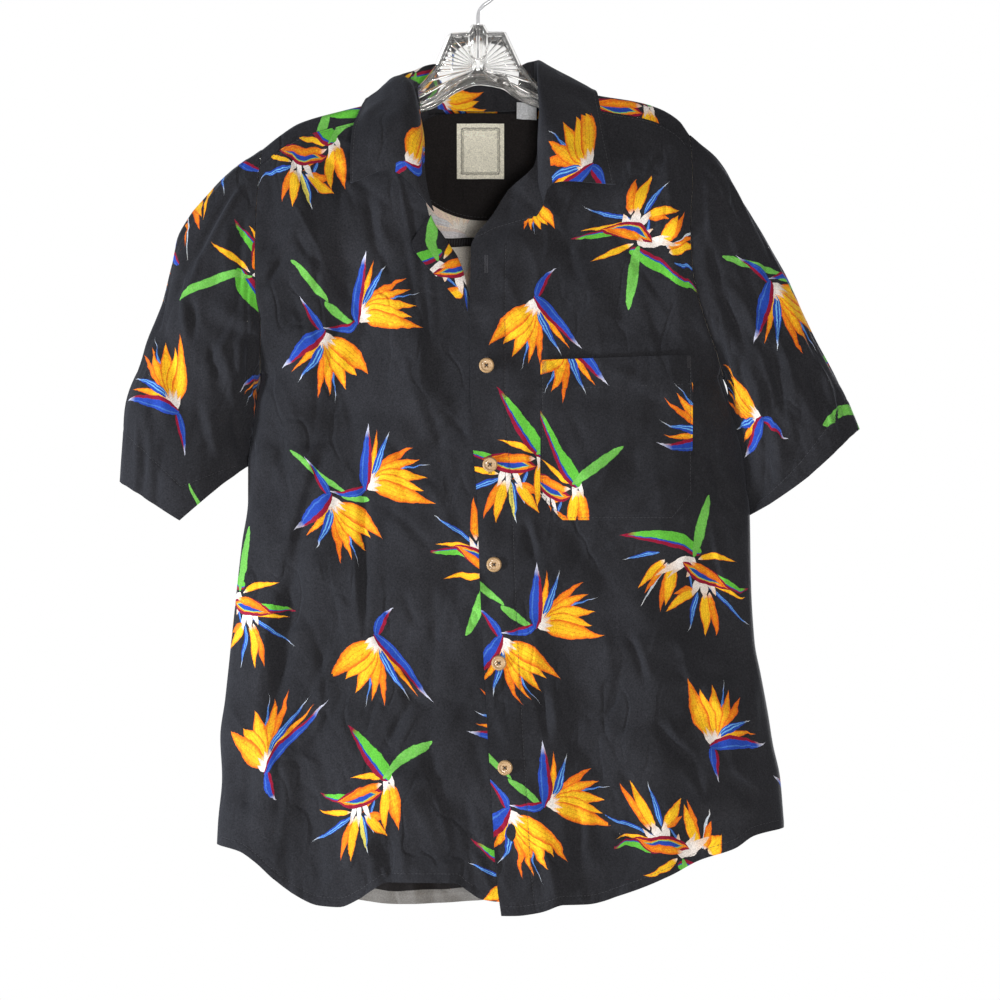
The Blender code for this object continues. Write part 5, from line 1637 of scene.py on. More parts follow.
@dataclass
class BackPanel(SewnPiece):
    """The back below the yoke, side seam to side seam."""

    name: str = "back"
    step: float = 2.8

    def hem(self, x: Array) -> Array:
        """Drop of the hem."""
        return smooth(HEMS["back"]["x"], HEMS["back"]["drop"], x)

    def height(self, x: Array, drop: Array) -> Array:
        """Depth of the outer face: the form, small creases, and the hem with its groove and ripple."""
        away = np.minimum(abs(FORM.side(1, drop) - x), abs(x - FORM.side(-1, drop)))
        fade = ease(away, 1.5, 16) * ease(drop - FORM.yoke_seam(x, FORM.back_seam), 0, 12)
        small = crease_lift(CREASES["back"], x, drop) + rumple(3, x, drop, 0.2)
        small = small + crumple(13, x, drop, (-240.0, 280.0, 240.0, 860.0), 1.05)
        detail = turned_hem(x, self.hem(x) - drop)
        return FORM.depth("back", x, drop) + small * fade + detail * ease(away, 1.0, 6.0)

    def build(self, finishes: Finishes) -> bpy.types.Object:
        """Makes the panel and its stitching."""
        shares = marks(490, self.step, EDGE_MARKS, EDGE_MARKS)
        levels = marks(600, self.step, (0, 0.8, 2.0, 4.0), HEM_MARKS)
        x, drop = settle(np.zeros(len(shares)), shares, levels, lambda d: FORM.side(-1, d),
                         lambda d: FORM.side(1, d), lambda a: FORM.yoke_seam(a, FORM.back_seam), self.hem)
        y = np.maximum(self.height(x, drop), FORM.side_gap)
        sheet = ClothSheet(self.name, grid_of(x, y, drop), self.wall, half=1)
        piece = self.finish(finishes, sheet, (0.56, 0.63), "hung", area=0.30)
        self.serging(finishes)
        self.hem_turn(finishes)
        across, top = np.linspace(268.0, -230.0, 500), np.linspace(186.0, -190.0, 300)
        Stitching("back_stitches", [
            self.seam(across, self.hem(across) - HEM_LINE, 1),
            self.seam(top, FORM.yoke_seam(top, FORM.back_seam) + 2.0, 1)]).build(finishes)
        return piece

    def serging(self, finishes: Finishes) -> None:
        """Bound seam allowance inside the yoke seam: a thin strip under close, steep stitches."""
        x = np.linspace(-188.0, 184.0, 240)
        drop = FORM.yoke_seam(x, FORM.back_seam) + np.linspace(-4.5, 3.5, 7)[:, None] + 0.3 * np.sin(x / 5.0)
        x = np.broadcast_to(x, drop.shape)
        y = FORM.depth("back", x, drop) - 1.3 - 0.25 * np.sin(x / 9.0)
        strip = ClothSheet("back_serging", grid_of(x, y, drop), 0.9, one_sided=False)
        self.as_trim(finishes, strip, (0.375, 0.010))
        points = np.stack([x[3], y[3] - 0.95, drop[3]], -1)
        seam = Seam(points, np.tile(TO_FRONT, (len(points), 1)), pitch=1.5, length=7.5, thick=0.3,
                    across=True)
        Stitching("back_serging_stitches", [seam]).build(finishes)

    def hem_turn(self, finishes: Finishes) -> None:
        """The hem's turned-up layer inside, from side seam to side seam: a narrow strip."""
        x = np.linspace(-216.0, 256.0, 190)
        drop = self.hem(x) + np.linspace(-22.0, -12.5, 6)[:, None] + 0.5 * np.sin(x / 7.0)
        x = np.broadcast_to(x, drop.shape)
        y = np.maximum(self.height(x, drop) - 1.15 - 0.3 * np.sin(x / 5.0), 0.6)
        strip = ClothSheet("back_hem_turn", grid_of(x, y, drop), 0.5, one_sided=False)
        self.as_trim(finishes, strip, (0.472, 0.010))

    def as_trim(self, finishes: Finishes, strip: ClothSheet, flat: tuple[float, float]) -> bpy.types.Object:
        piece = finishes.dress(strip.build([]), Slot.PLAIN)
        LOG.info("%s: %d faces", piece.name, len(piece.data.polygons))
        return piece


@dataclass
class Yoke(SewnPiece):
    """Shoulder yoke: two straps over the shoulders joined by a band across the back."""

    name: str = "yoke"

    @staticmethod
    def neck_edge(hand: int, row: Array) -> Array:
        """x of the neck edge at a row, counted from the crest and negative in front."""
        edges = {-1: (-56, -58, -58, -57, -54, -46, -44.0), 1: (59.5, 61.5, 62, 61, 58, 50, 48.0)}
        return smooth(np.array([-3, -1, 0, 2, 3, 4, 8.0]), np.array(edges[hand]), row)

    @staticmethod
    def row_drop(x: Array, row: float) -> Array:
        """Drop of a row: between whole steps the armhole's cosine sets the share."""
        step = abs(row)
        turn = math.pi / FORM.arc_steps
        if row > FORM.neck_row:
            start, foot = FORM.yoke_seam(x, FORM.neck_row), FORM.yoke_seam(x, FORM.back_seam)
            ends = math.cos(turn * FORM.neck_row), math.cos(turn * step), math.cos(turn * FORM.back_seam)
            return start + (foot - start) * (ends[0] - ends[1]) / (ends[0] - ends[2])
        whole = FORM.neck_row if row > 0 else FORM.front_seam
        share = (1 - math.cos(turn * step)) / (1 - math.cos(turn * whole))
        return FORM.ridge(x) + (FORM.yoke_seam(x, whole) - FORM.ridge(x)) * share

    def build(self, finishes: Finishes) -> bpy.types.Object:
        """Makes the yoke; rows run from its front edge over the crest to the back seam."""
        rows = np.concatenate([np.linspace(-3, -1, 9), np.linspace(-0.85, 0.85, 13), np.linspace(1, 4, 14),
                               np.linspace(4.12, 8, 32)])
        strap = marks(135, 3.2, (0, 0.8), (0, 0.8, 2))
        middle = np.linspace(0, 1, 34)[1:-1]
        grid = []
        for row in rows:
            necks = [float(self.neck_edge(hand, row)) for hand in (-1, 1)]
            drops = [FORM.arc_drops(hand, abs(row)) for hand in (-1, 1)]
            holes = [float(FORM.side(hand, drops[i])) for i, hand in enumerate((-1, 1))]
            x = np.concatenate([
                holes[0] + (necks[0] - holes[0]) * (1 - strap)[::-1],
                necks[0] + (necks[1] - necks[0]) * middle,
                necks[1] + (holes[1] - necks[1]) * strap])
            drop = self.row_drop(x, row)
            away = np.minimum(abs(x - holes[0]), abs(x - holes[1]))
            small = rumple(11, x, drop, 0.1) + crumple(15, x, drop, (-200.0, 200.0, 130.0, 260.0), 0.35)
            small = small * ease(away, 2, 14) * ease(abs(row), 1, 3)
            face = "front" if row < 0 else "back"
            y = (FORM.depth(face, x, drop) + small) * (1 if row > 0 else -1)
            grid.append(np.stack([x, y * (row != 0), drop], -1))
        points = np.array(grid)
        cell = np.arange(points.shape[1] - 1)
        inside = (cell >= len(strap) - 1) & (cell < len(strap) + len(middle))
        keep = ~(inside[None, :] & (rows[:-1, None] < FORM.neck_row - 0.001))
        sheet = ClothSheet(self.name, points[::-1], self.wall, keep=keep[::-1], wrong_below=158.0)
        return self.finish(finishes, sheet, (0.45, 0.20), "hung", area=0.062)


@dataclass
class NeckFacing(SewnPiece):
    """Plain half-moon of cloth inside the back neck."""

    name: str = "yoke_facing"
    slot: Slot = Slot.PLAIN
    middle: float = 4.0
    half_width: float = 84.0
    foot: float = 234.0
    centre: float = 146.0

    def height(self, x: Array, drop: Array) -> Array:
        """Depth of the facing's outer side, which is against the yoke."""
        return FORM.depth("back", x, drop) - FACING_DEPTH + rumple(5, x, drop, 0.10)

    def build(self, finishes: Finishes) -> bpy.types.Object:
        """Makes the half-moon: its foot is half an ellipse."""
        share = np.sin(np.linspace(-1.35, 1.35, 57))
        x = self.middle + self.half_width * share
        foot = self.centre + (self.foot - self.centre) * np.sqrt(1 - share ** 2)
        top = FORM.yoke_seam(x, FORM.neck_row) + 1.0 + 6 * ease(abs(x - self.middle), 40, 60)
        top = np.minimum(top, foot - 6)
        drop = top + (foot - top) * marks(90, 2.6, (0, 1), (0, 0.7, 2, 3.5))[:, None]
        x = np.broadcast_to(x, drop.shape)
        y = self.height(x, drop)
        sheet = ClothSheet(self.name, grid_of(x, y, drop), self.wall, one_sided=False)
        piece = self.finish(finishes, sheet, (0.165, 0.09), "laid", area=0.0112, rests_on=["yoke_cloth"])
        turn = np.linspace(-1.2, 1.2, 160)
        edge_x = self.middle + (self.half_width - 3) * np.sin(turn)
        edge_drop = self.centre + (self.foot - self.centre - 3) * np.cos(turn)
        Stitching("yoke_facing_stitches", [self.seam(edge_x, edge_drop, 1, 0.75)]).build(finishes)
        return piece


@dataclass
class SewnLabel(SewnPiece):
    """A small woven label inside the back neck, bare but for its woven frame."""

    name: str
    left: float
    right: float
    top: float
    foot: float
    lean: float
    off: float
    slot: Slot = Slot.CREAM
    wall: float = 0.5

    def height(self, x: Array, drop: Array) -> Array:
        """Depth of the label's side that lies against the facing."""
        return FORM.depth("back", x, drop) - FACING_DEPTH - self.off

    def build(self, finishes: Finishes) -> bpy.types.Object:
        """Makes the label, and on the neck label a ragged dark frame and its sewing."""
        across, down = np.meshgrid(np.linspace(0, 1, 16), np.linspace(0, 1, 20))
        wave = 0.35 * np.sin(across * 9 + down * 5)
        x = self.left + (self.right - self.left) * across
        drop = self.top + (self.foot - self.top) * down + self.lean * (across - 0.5) + wave * 0.3
        sheet = ClothSheet(self.name, grid_of(x, self.height(x, drop), drop), self.wall, one_sided=False)
        size = ((self.right - self.left) * MM, (self.foot - self.top) * MM)
        piece = self.finish(finishes, sheet, size, "laid", rests_on=["yoke_facing_cloth"])
        if self.slot is Slot.CREAM:
            self.woven_frame(finishes)
        return piece

    def woven_frame(self, finishes: Finishes) -> None:
        """Two ragged threads round the label: short cross stitches of uneven length."""
        seams = []
        for inset, length in ((4.4, 1.9), (5.9, 0.8)):
            left, right = self.left + inset, self.right - inset
            top, foot = self.top + inset, self.foot - inset
            corners = [(left, top), (right, top), (right, foot), (left, foot), (left, top)]
            at, x, drop = around_corners(corners, 200)
            seams.append(self.seam(x + 0.25 * np.sin(at * 37), drop + 0.25 * np.cos(at * 31), 1, 0.52,
                                   pitch=0.62, length=length, thick=0.22, across=True))
        Stitching("neck_label_frame", seams, dark=True).build(finishes)


@dataclass
class Lapel(SewnPiece):
    """The right front's facing where it turns back."""

    name: str = "lapel_right"

    def build(self, finishes: Finishes) -> bpy.types.Object:
        """Makes the flap: it lifts off the front towards its free edge and curls at the fold."""
        across = marks(34, 1.6, (0, 0.6, 1.6), (0, 0.6, 1.6))[None, :]
        drop = np.linspace(LAPEL["drop"][0], LAPEL["drop"][-1], 48)[:, None]
        fold, outer, lift = (smooth(LAPEL["drop"], LAPEL[key], drop) for key in ("fold", "outer", "lift"))
        x = fold + (outer - fold) * across
        drop = np.broadcast_to(drop, x.shape)
        roll = 1.3 * np.sqrt(np.clip(across / 0.10, 0, 1))
        y = -(FORM.depth("front", x, drop) + 1.3 + roll + lift * across ** 0.7 + rumple(21, x, drop, 0.14))
        return self.finish(finishes, ClothSheet(self.name, grid_of(x, y, drop), self.wall),
                           (0.035, 0.088), "folded", area=0.0022, rests_on=["front_right_cloth"])


@dataclass
class Collar(SewnPiece):
    """One-piece camp collar: stand, roll and fall from end to end."""

    name: str = "collar"
    wall: float = 1.5
    width: float = 60.0
    gap: float = 3.2
    stitch_line: float = 2.4

    def build(self, finishes: Finishes) -> bpy.types.Object:
        """Joins seam, roll and free edge with smooth sections, then creases them."""
        stations = np.arange(len(COLLAR["seam_x"]), dtype=float)
        at = np.linspace(0, stations[-1], 190)
        lines = [np.stack([smooth(stations, COLLAR[f"{line}_{axis}"], at) for axis in ("x", "y", "drop")], -1)
                 for line in ("seam", "roll", "edge")]
        knots = np.array([0, 0.36, 1.0])
        down = marks(92, 2.4, (0, 0.8, 2), (0, 0.7, 1.6, 2.4, 3.2))
        shares = [self.section(knots, down, part) for part in range(3)]
        grid = sum(share[:, None, None] * line[None] for share, line in zip(shares, lines))
        grid = FORM.clear_of_body(grid, self.gap)[:, ::-1]
        normals = ClothSheet(self.name, grid, self.wall).normals
        x, drop = grid[..., 0], grid[..., 2]
        fade = ease(down, 0.02, 0.2)[:, None] * (1 - 0.6 * ease(down, 0.9, 1.0))[:, None]
        lift = crease_lift(CREASES["collar"], x, drop) + rumple(31, x * 1.3, drop * 1.3, 0.10)
        lift = np.maximum(lift + crumple(33, x, drop, (-115.0, 125.0, 90.0, 232.0), 0.35), -0.7)
        edge = (1 - down)[:, None] * self.width
        lift = lift * fade + groove(edge - self.stitch_line, 0.25, 0.8)
        grid = grid + normals * (1, 1, -1) * lift[..., None]
        sheet = ClothSheet(self.name, grid, self.wall, one_sided=False)
        fall = down[:, None] > 0.40
        front = grid[..., 1] < -2
        sheet.plain = ((fall & (x < -66)) | (fall & (x > 54) & (drop < 146) & front)
                       | (~fall & (x > 40) & front))
        piece = self.finish(finishes, sheet, (0.46, 0.088), "folded",
                            rests_on=["yoke_cloth", "front_left_cloth", "front_right_cloth"])
        line = np.argmin(abs(down - (1 - self.stitch_line / self.width)))
        Stitching("collar_stitches", [Seam(grid[line], sheet.normals[line] * (1, 1, -1))]).build(finishes)
        return piece

    @staticmethod
    def section(knots: Array, down: Array, part: int) -> Array:
        """Weight of one of the three lines across the collar, a smooth curve through the knots."""
        weights = np.zeros(3)
        weights[part] = 1
        rise = np.diff(weights) / np.diff(knots)
        slope = np.array([rise[0], (rise[0] * (knots[2] - knots[1]) + rise[1] * (knots[1] - knots[0]))
                          / (knots[2] - knots[0]), rise[1]])
        i = (down > knots[1]).astype(int)
        step = np.diff(knots)[i]
        return cubic(weights, slope, i, step, (down - knots[i]) / step)


@dataclass
class Sleeve(SewnPiece):
    """Short set-in sleeve: flattened rings from the armhole to a turned hem."""

    hand: int
    around: int = 176
    length: float = 200.0
    hem_line: float = 20.0

    def __post_init__(self) -> None:
        """Takes the piece's name from its hand."""
        self.name = "sleeve_left" if self.hand > 0 else "sleeve_right"

    def armhole(self, angle: Array) -> Array:
        """Points round the armhole at angles from the shoulder point, front half first."""
        step = np.where(angle <= math.pi, angle, 2 * math.pi - angle) / math.pi * FORM.arc_steps
        drop = FORM.arc_drops(self.hand, step)
        x = FORM.side(self.hand, drop)
        front = FORM.left_front(x, drop) if self.hand > 0 else FORM.depth("front", x, drop)
        y = np.where(angle <= math.pi, -front, FORM.depth("back", x, drop))
        return np.stack([x + self.hand * FORM.seam_gap, y, drop], -1)

    def build(self, finishes: Finishes) -> bpy.types.Object:
        """Makes the sleeve.

        A ring is an ellipse flattened by a power of its sine between the top line and the
        under line. It sags between them, and fades into the armhole over the first rings.
        Creases lie on the front half where the table has them, and mirrored at the back.

        Args:
            finishes: The shared finishes.

        Returns:
            The finished sleeve.
        """
        sections = SLEEVES[self.hand]
        angle = (np.linspace(0, 2 * math.pi, self.around + 1)[:-1] + math.pi) % (2 * math.pi)
        cos, sin = np.cos(angle), np.sin(angle)
        under = (1 - cos) / 2
        at = marks(self.length, 3.1, (0, 1, 2.4), (0, 0.6, 2, 5, 9, 13, 16, 18, 19.2, 20, 20.8, 22))[:, None]
        row = {key: smooth(sections["at"], column, at) for key, column in sections.items()}
        x, drop = ((row[f"top_{axis}"] + row[f"under_{axis}"]) / 2
                   + (row[f"top_{axis}"] - row[f"under_{axis}"]) / 2 * cos for axis in ("x", "drop"))
        drop = drop + np.where(sin > 0, row["sag_front"], row["sag_back"]) * (1 - abs(cos))
        depth = np.where(sin > 0, row["front"], row["back"])
        y = row["shift"] * under - depth * np.sign(sin) * abs(sin) ** 0.8
        tuck = ease(at, 0.04, 0.3) * under ** 6
        x = x - (9.0 if self.hand > 0 else -4.5) * tuck
        y = y + 5.0 * tuck
        points = np.stack([x, y, drop], -1)
        points += (self.armhole(angle) - points[0]) * (1 - at[..., None]) ** 3
        form = ClothSheet(self.name, points if self.hand < 0 else points[:, ::-1], self.wall, closed=True)
        grid = form.points
        along = at * self.length
        lift = crease_lift(CREASES[self.name], grid[..., 0], grid[..., 2])
        run = (angle if self.hand < 0 else angle[::-1])[None, :] * 75.0
        lift = lift * ease(abs(form.normals[..., 1]), 0.25, 0.7) + rumple(41 + self.hand, run, along, 0.2)
        lift = lift + crumple(43 + self.hand, run, along, (0.0, 472.0, 0.0, self.length), 1.05)
        lift = lift * ease(along, 2, 16)
        past = self.length - along - self.hem_line
        puff = 0.45 * (1 - ease(past, -1, 1)) + groove(past, 0.32, 0.9)
        puff = puff + 0.22 * np.sin(run * 2 * math.pi / 10.5) * np.exp(-(past / 5.0) ** 2)
        head = 0.5 * np.exp(-((along - 3.0) / 3.0) ** 2) * np.sin(run * 2 * math.pi / 13.0)
        grid = grid + form.normals * (1, 1, -1) * (lift + puff + head * 0.5)[..., None]
        sheet = ClothSheet(self.name, grid, self.wall, closed=True)
        piece = self.finish(finishes, sheet, (0.46, 0.215), "hung", area=0.067)
        line = int(np.argmin(abs(past[:, 0])))
        ring, out = (np.concatenate([values[line], values[line, :1]])
                     for values in (grid, sheet.normals * (1, 1, -1)))
        Stitching(f"{self.name}_stitches", [Seam(ring, out)]).build(finishes)
        return piece


@dataclass
class Pocket(SewnPiece):
    """Chest patch pocket with clipped bottom corners, laid on the left front."""

    name: str = "pocket"
    left: float = 55.6
    right: float = 191.2
    top_left: float = 364.4
    top_right: float = 358.9
    foot: float = 506.0
    clip: float = 19.0
    rise: float = 22.0
    inset: float = 2.0
    mouth: float = 26.0

    def top(self, x: Array) -> Array:
        """Drop of the pocket's mouth."""
        return self.top_left + (self.top_right - self.top_left) * (x - self.left) / (self.right - self.left)

    def bottom(self, x: Array) -> Array:
        """Drop of the foot, raised at both clipped corners."""
        corner = np.minimum(x - self.left, self.right - x) / self.clip
        return self.foot - self.rise * np.clip(1 - corner, 0, 1)

    def height(self, x: Array, drop: Array) -> Array:
        """Depth: the front's own face, raised by a layer and by more where nothing holds it down."""
        front = FrontPanel(1).height(x, drop)
        rim = np.minimum(np.minimum(x - self.left, self.right - x), self.bottom(x) - drop)
        mouth = drop - self.top(x)
        free = ease(rim, 0, 24) * (1 + 1.6 * (1 - ease(mouth, 0, 60)))
        lines = groove(rim - self.inset, 0.25, 0.8) + groove(mouth - self.mouth, 0.28, 0.9)
        hem = 0.35 * (1 - ease(mouth, self.mouth - 1, self.mouth + 1))
        return front + 1.35 + free + lines + hem + crease_lift(CREASES["pocket"], x, drop) * ease(rim, 0, 12)

    def build(self, finishes: Finishes) -> bpy.types.Object:
        """Makes the pocket and its stitches, with bars at the mouth's corners."""
        rim = (0, 0.5, 1.3, 2, 2.7)
        x = self.left + (self.right - self.left) * marks(136, 2.8, rim, rim)
        levels = marks(142, 2.8, (0, 0.5, 1.5), rim)[:, None]
        drop = self.top(x) + (self.bottom(x) - self.top(x)) * levels
        x = np.broadcast_to(x, drop.shape)
        points = np.stack([x, -self.height(x, drop), drop], -1)
        piece = self.finish(finishes, ClothSheet(self.name, points, self.wall), (0.14, 0.145), "laid",
                            rests_on=["front_left_cloth"])
        left, right = self.left + self.inset, self.right - self.inset
        shoulder, foot = self.foot - self.rise - 1, self.foot - self.inset
        _, *line = around_corners([
            (left, self.top_left + 1), (left, shoulder), (self.left + self.clip, foot),
            (self.right - self.clip, foot), (right, shoulder), (right, self.top_right + 1)], 600)
        across = np.linspace(self.left + 1, self.right - 1, 120)
        seams = [self.seam(*line), self.seam(across, self.top(across) + self.mouth)]
        bar = np.linspace(0, 11, 10)
        for x0, hand in ((self.left + 1, 1), (self.right - 1, -1)):
            seams.append(self.seam(np.full(10, x0 + hand * 2.6), self.top(x0) + 1 + bar, pitch=1.0,
                                   length=4.4, across=True))
        Stitching("pocket_stitches", seams).build(finishes)
        return piece


# --------------------------------------------------------------------------- buttons, hanger, hook

@dataclass
class Button:
    """Four-hole button sewn on with crossed dark thread."""

    number: int
    x: float
    drop: float
    thick: float = 2.4
    hole: float = 0.85
    offset: float = 1.5
    around: int = 64

    def build(self, finishes: Finishes) -> bpy.types.Object:
        """Makes the button.

        The top is a height field over rings, with a raised rounded rim and four holes; more
        rings close side and back.

        Args:
            finishes: The shared finishes.

        Returns:
            The finished button.
        """
        base_y = -(float(FrontPanel(1).height(np.array(self.x), np.array(self.drop))) + 0.75)
        rings = np.array([0, 0.35, 0.6, 0.8, 1.2, 1.5, 1.8, 2.2, 2.6, 3.2, 3.9, 4.3, 4.7, 5.1, 5.5, 5.9, 6.2,
                          6.45, 6.6])
        turn = np.linspace(0, 2 * math.pi, self.around + 1)[:-1]
        radius = rings[:, None] * np.ones(self.around)
        u, v = radius * np.cos(turn), radius * np.sin(turn)
        rim = 0.62 * np.exp(-((radius - 5.35) / 0.75) ** 2)
        top = self.thick * 0.66 + rim - 0.5 * ease(radius, 5.6, 6.6) * (self.thick * 0.66)
        for quarter in range(4):
            angle = math.pi / 4 + quarter * math.pi / 2
            away = np.hypot(u - self.offset * math.cos(angle), v - self.offset * math.sin(angle))
            top = top - 1.35 * (1 - ease(away, self.hole * 0.55, self.hole * 1.05))
        closing = np.array([(6.45, 0.35), (6.0, 0.05), (3.0, 0.0), (0.0, 0.0)])
        u = np.concatenate([u, closing[:, :1] * np.cos(turn)])
        v = np.concatenate([v, closing[:, :1] * np.sin(turn)])
        height = np.concatenate([top, closing[:, 1:] * np.ones(self.around)])
        points = np.stack([self.x + u, base_y - height, self.drop - v], -1)
        quads = closed_quads(*height.shape)[:, [0, 3, 2, 1]]
        piece = make_object(f"button_{self.number}_disc", metres(points), quads)
        outwards(piece, weld=True)
        finishes.dress(piece, Slot.COCONUT, f"button_{self.number}")
        self.thread(finishes, base_y)
        return piece

    def thread(self, finishes: Finishes, base_y: float) -> None:
        """Two crossed bundles of thread between opposite holes."""
        seams = []
        along = np.linspace(-1, 1, 9)
        bow = self.thick * 0.66 + 0.35 * (1 - along ** 2) - 0.25
        for angle in (math.pi / 4, -math.pi / 4):
            cos, sin = math.cos(angle), math.sin(angle)
            for shift in (-0.28, 0.0, 0.28):
                x = self.x + along * self.offset * cos - sin * shift
                drop = self.drop - along * self.offset * sin - cos * shift
                path = np.stack([x, base_y - bow, drop], -1)
                seams.append(Seam(path, np.tile(TO_FRONT, (9, 1)), pitch=2.9, length=3.3, thick=0.26))
        Stitching(f"button_{self.number}_thread", seams, dark=True).build(finishes)


def tube(path: Array, radii: Array, sides: int = 12, flat: float = 1.0) -> tuple[Array, Array]:
    """A round profile carried along a path in the hanger's plane, closed at both ends.

    Args:
        path: Points x, y, drop.
        radii: Radius at each point.
        sides: Corners of the profile.
        flat: Depth of the profile over its width.

    Returns:
        Points in millimetres and quads.
    """
    way = unit(np.gradient(path, axis=0))
    out = np.array([0.0, 1.0, 0.0])
    side = unit(np.cross(way, out))
    angle = np.linspace(0, 2 * math.pi, sides + 1)[:-1]
    around = side[:, None] * np.cos(angle)[:, None] + out * flat * np.sin(angle)[:, None]
    points = path[:, None] + around * radii[:, None, None]
    first, last = (path[end, None] * np.ones((1, sides, 1)) for end in ([0], [-1]))
    points = np.concatenate([first, points, last])
    return points.reshape(-1, 3), closed_quads(len(points), sides)


def level_tube(x: Array, drop: Array, radii: Array | float, sides: int = 12,
               flat: float = 1.0) -> tuple[Array, Array]:
    """A tube along a line in the hanger's plane, with one radius or one for each point."""
    x, drop, radii = np.broadcast_arrays(x, drop, radii)
    return tube(np.stack([x, x * 0.0, drop], -1), radii, sides, flat)


@dataclass
class Hanger:
    """Clear moulded hanger: a thin plate with a rounded rim, a ribbed fan and two arms."""

    low: float = -211.0
    high: float = 204.0
    fan: float = 57.5
    plate: float = 1.1
    rim: float = 2.5
    ray_foot: float = 98.9
    rays: tuple[float, ...] = (-64, -51, -40, -30, -21, -12.5, -4, 5, 15, 26, 39)
    neck: tuple[tuple[float, float], ...] = (
        (-57, 120.2), (-46.4, 109), (-36, 95.8), (-24.3, 67.9), (-8, 66.6), (-4, 60), (4, 60), (8, 66.6),
        (23.4, 66.6), (36.9, 95.8), (51.3, 112.1), (58, 117))
    arch: tuple[tuple[float, float], ...] = (
        (-57, 142), (-38.7, 134.6), (-19.8, 121.9), (0, 115.1), (20.7, 117.9), (38.7, 129.6), (58, 137))

    def top_line(self, x: Array) -> Array:
        """Drop of the arm's top edge, just below the cloth's ridge."""
        slope = (FORM.ridge(x + 1) - FORM.ridge(x - 1)) / 2
        return FORM.ridge(x) + 3.2 * np.sqrt(1 + slope ** 2)

    def under_line(self, x: Array) -> Array:
        """Drop of the lower edge: the arms' own line, and the arch between them."""
        arm = self.top_line(x) + 18 - 7 * abs(x) / self.high
        xs, drops = np.array(self.arch).T
        return np.where(abs(x) > self.fan, arm, smooth(xs, drops, x))

    def upper_line(self, x: Array) -> Array:
        """Drop of the upper edge: the arms' top, and the fan's outline between them."""
        xs, drops = np.array(self.neck).T
        return np.where(abs(x) > self.fan, self.top_line(x), np.interp(x, xs, drops))

    def build(self, finishes: Finishes) -> bpy.types.Object:
        """Makes plate, rim, ribs and boss in one mesh."""
        points, faces = joined([self.panel(), *self.rims(), *self.ribs()])
        piece = make_object("hanger_body", metres(points), faces)
        outwards(piece, weld=True)
        return finishes.dress(piece, Slot.PLASTIC, "hanger")

    def panel(self) -> tuple[Array, Array]:
        """The plate: a closed slab whose section at each x runs from the upper to the lower line."""
        x = np.concatenate([np.linspace(self.low + 2, -60, 60), np.linspace(-57, 57, 115),
                            np.linspace(60, self.high - 2, 60)])
        top, foot = self.upper_line(x) + 1.5, self.under_line(x) - 1.5
        section = np.array([(0, -1), (1, -1), (1, 1), (0, 1)], float)
        drop = top[:, None] + (foot - top)[:, None] * section[:, 0]
        y = self.plate * np.broadcast_to(section[:, 1], drop.shape)
        points = np.stack([np.broadcast_to(x[:, None], drop.shape), y, drop], -1)
        first = np.arange(4)
        ends = np.array([first, 4 * len(x) - 1 - first])
        return points.reshape(-1, 3), np.concatenate([closed_quads(len(x), 4), ends])

    def rims(self) -> list[tuple[Array, Array]]:
        """Rounded bead along both edges and round the tips, and a second line inside the arch."""
        x, inner = np.linspace(self.low + 3, self.high - 3, 360), np.linspace(-52, 53, 90)
        tip = np.linspace(0, 1, 12)
        made = [level_tube(x, self.upper_line(x) + self.rim * 1.02, self.rim),
                level_tube(x, self.under_line(x) - self.rim * 1.02, self.rim),
                level_tube(inner, self.under_line(inner) - 9.5, 1.0, 8, 2.4)]
        for x0 in x[[0, -1]]:
            top, foot = float(self.upper_line(x0)) + 2.6, float(self.under_line(x0)) - 2.6
            made.append(level_tube(x0, top + (foot - top) * tip, self.rim))
        return made

    def ribs(self) -> list[tuple[Array, Array]]:
        """Twin ribs up the stem, wedge-shaped rays from its foot, and a ring round it."""
        made = [level_tube(x0, np.linspace(63, 106, 24), 1.15, 10, 2.3) for x0 in (-2.7, 2.7)]
        far, radii = np.linspace(5.5, 82, 150), np.linspace(0.45, 2.5, 150)
        for turn in np.radians(self.rays):
            for hand in (-1, 1):
                x, drop = hand * far * math.cos(turn), self.ray_foot + far * math.sin(turn)
                inside = (abs(x) < 56) & (drop > self.upper_line(x) + 3.4) & (drop < self.under_line(x) - 3.6)
                length = int(np.argmin(inside)) if not inside.all() else len(far)
                if length > 10:
                    made.append(level_tube(x[:length], drop[:length], radii[:length], 8, 1.25))
        ring = np.linspace(0, 2 * math.pi, 41)
        made.append(level_tube(7.6 * np.sin(ring), 83.9 - 7.6 * np.cos(ring), 0.9, 10, 2.6))
        return made


@dataclass
class Hook:
    """Bright wire hook that rises from the hanger's fan."""

    wire: float = 1.6
    bend: float = 21.6

    def build(self, finishes: Finishes) -> bpy.types.Object:
        """Carries a round profile along the stem and the arc, with a rounded open end."""
        turn = np.radians(np.linspace(-38, 205, 150))
        arc = np.stack([self.bend * np.cos(turn), self.bend - self.wire - self.bend * np.sin(turn)], -1)
        stem = [(0, 91), (0, 80), (0, 70), (0, 62), (0, 54), (0.8, 49), (4.5, 43.5), (10.5, 39.2)]
        knots = np.concatenate([stem, arc[::6]])
        run = np.concatenate([[0], np.cumsum(np.hypot(*np.diff(knots, axis=0).T))])
        at = np.linspace(0, run[-1], 260)
        x, drop = smooth(run, knots[:, 0], at), smooth(run, knots[:, 1], at)
        past = ((at - run[-1] + self.wire) / self.wire).clip(0)
        radii = self.wire * np.sqrt(np.clip(1 - past ** 2, 0.02, 1)) * (1 - 0.5 * ease(drop, 59.5, 63.0))
        points, quads = level_tube(x, drop, radii, 16)
        piece = make_object("hook_wire", metres(points), quads)
        outwards(piece, weld=True)
        return finishes.dress(piece, Slot.WIRE, "hook")


# --------------------------------------------------------------------------- studio

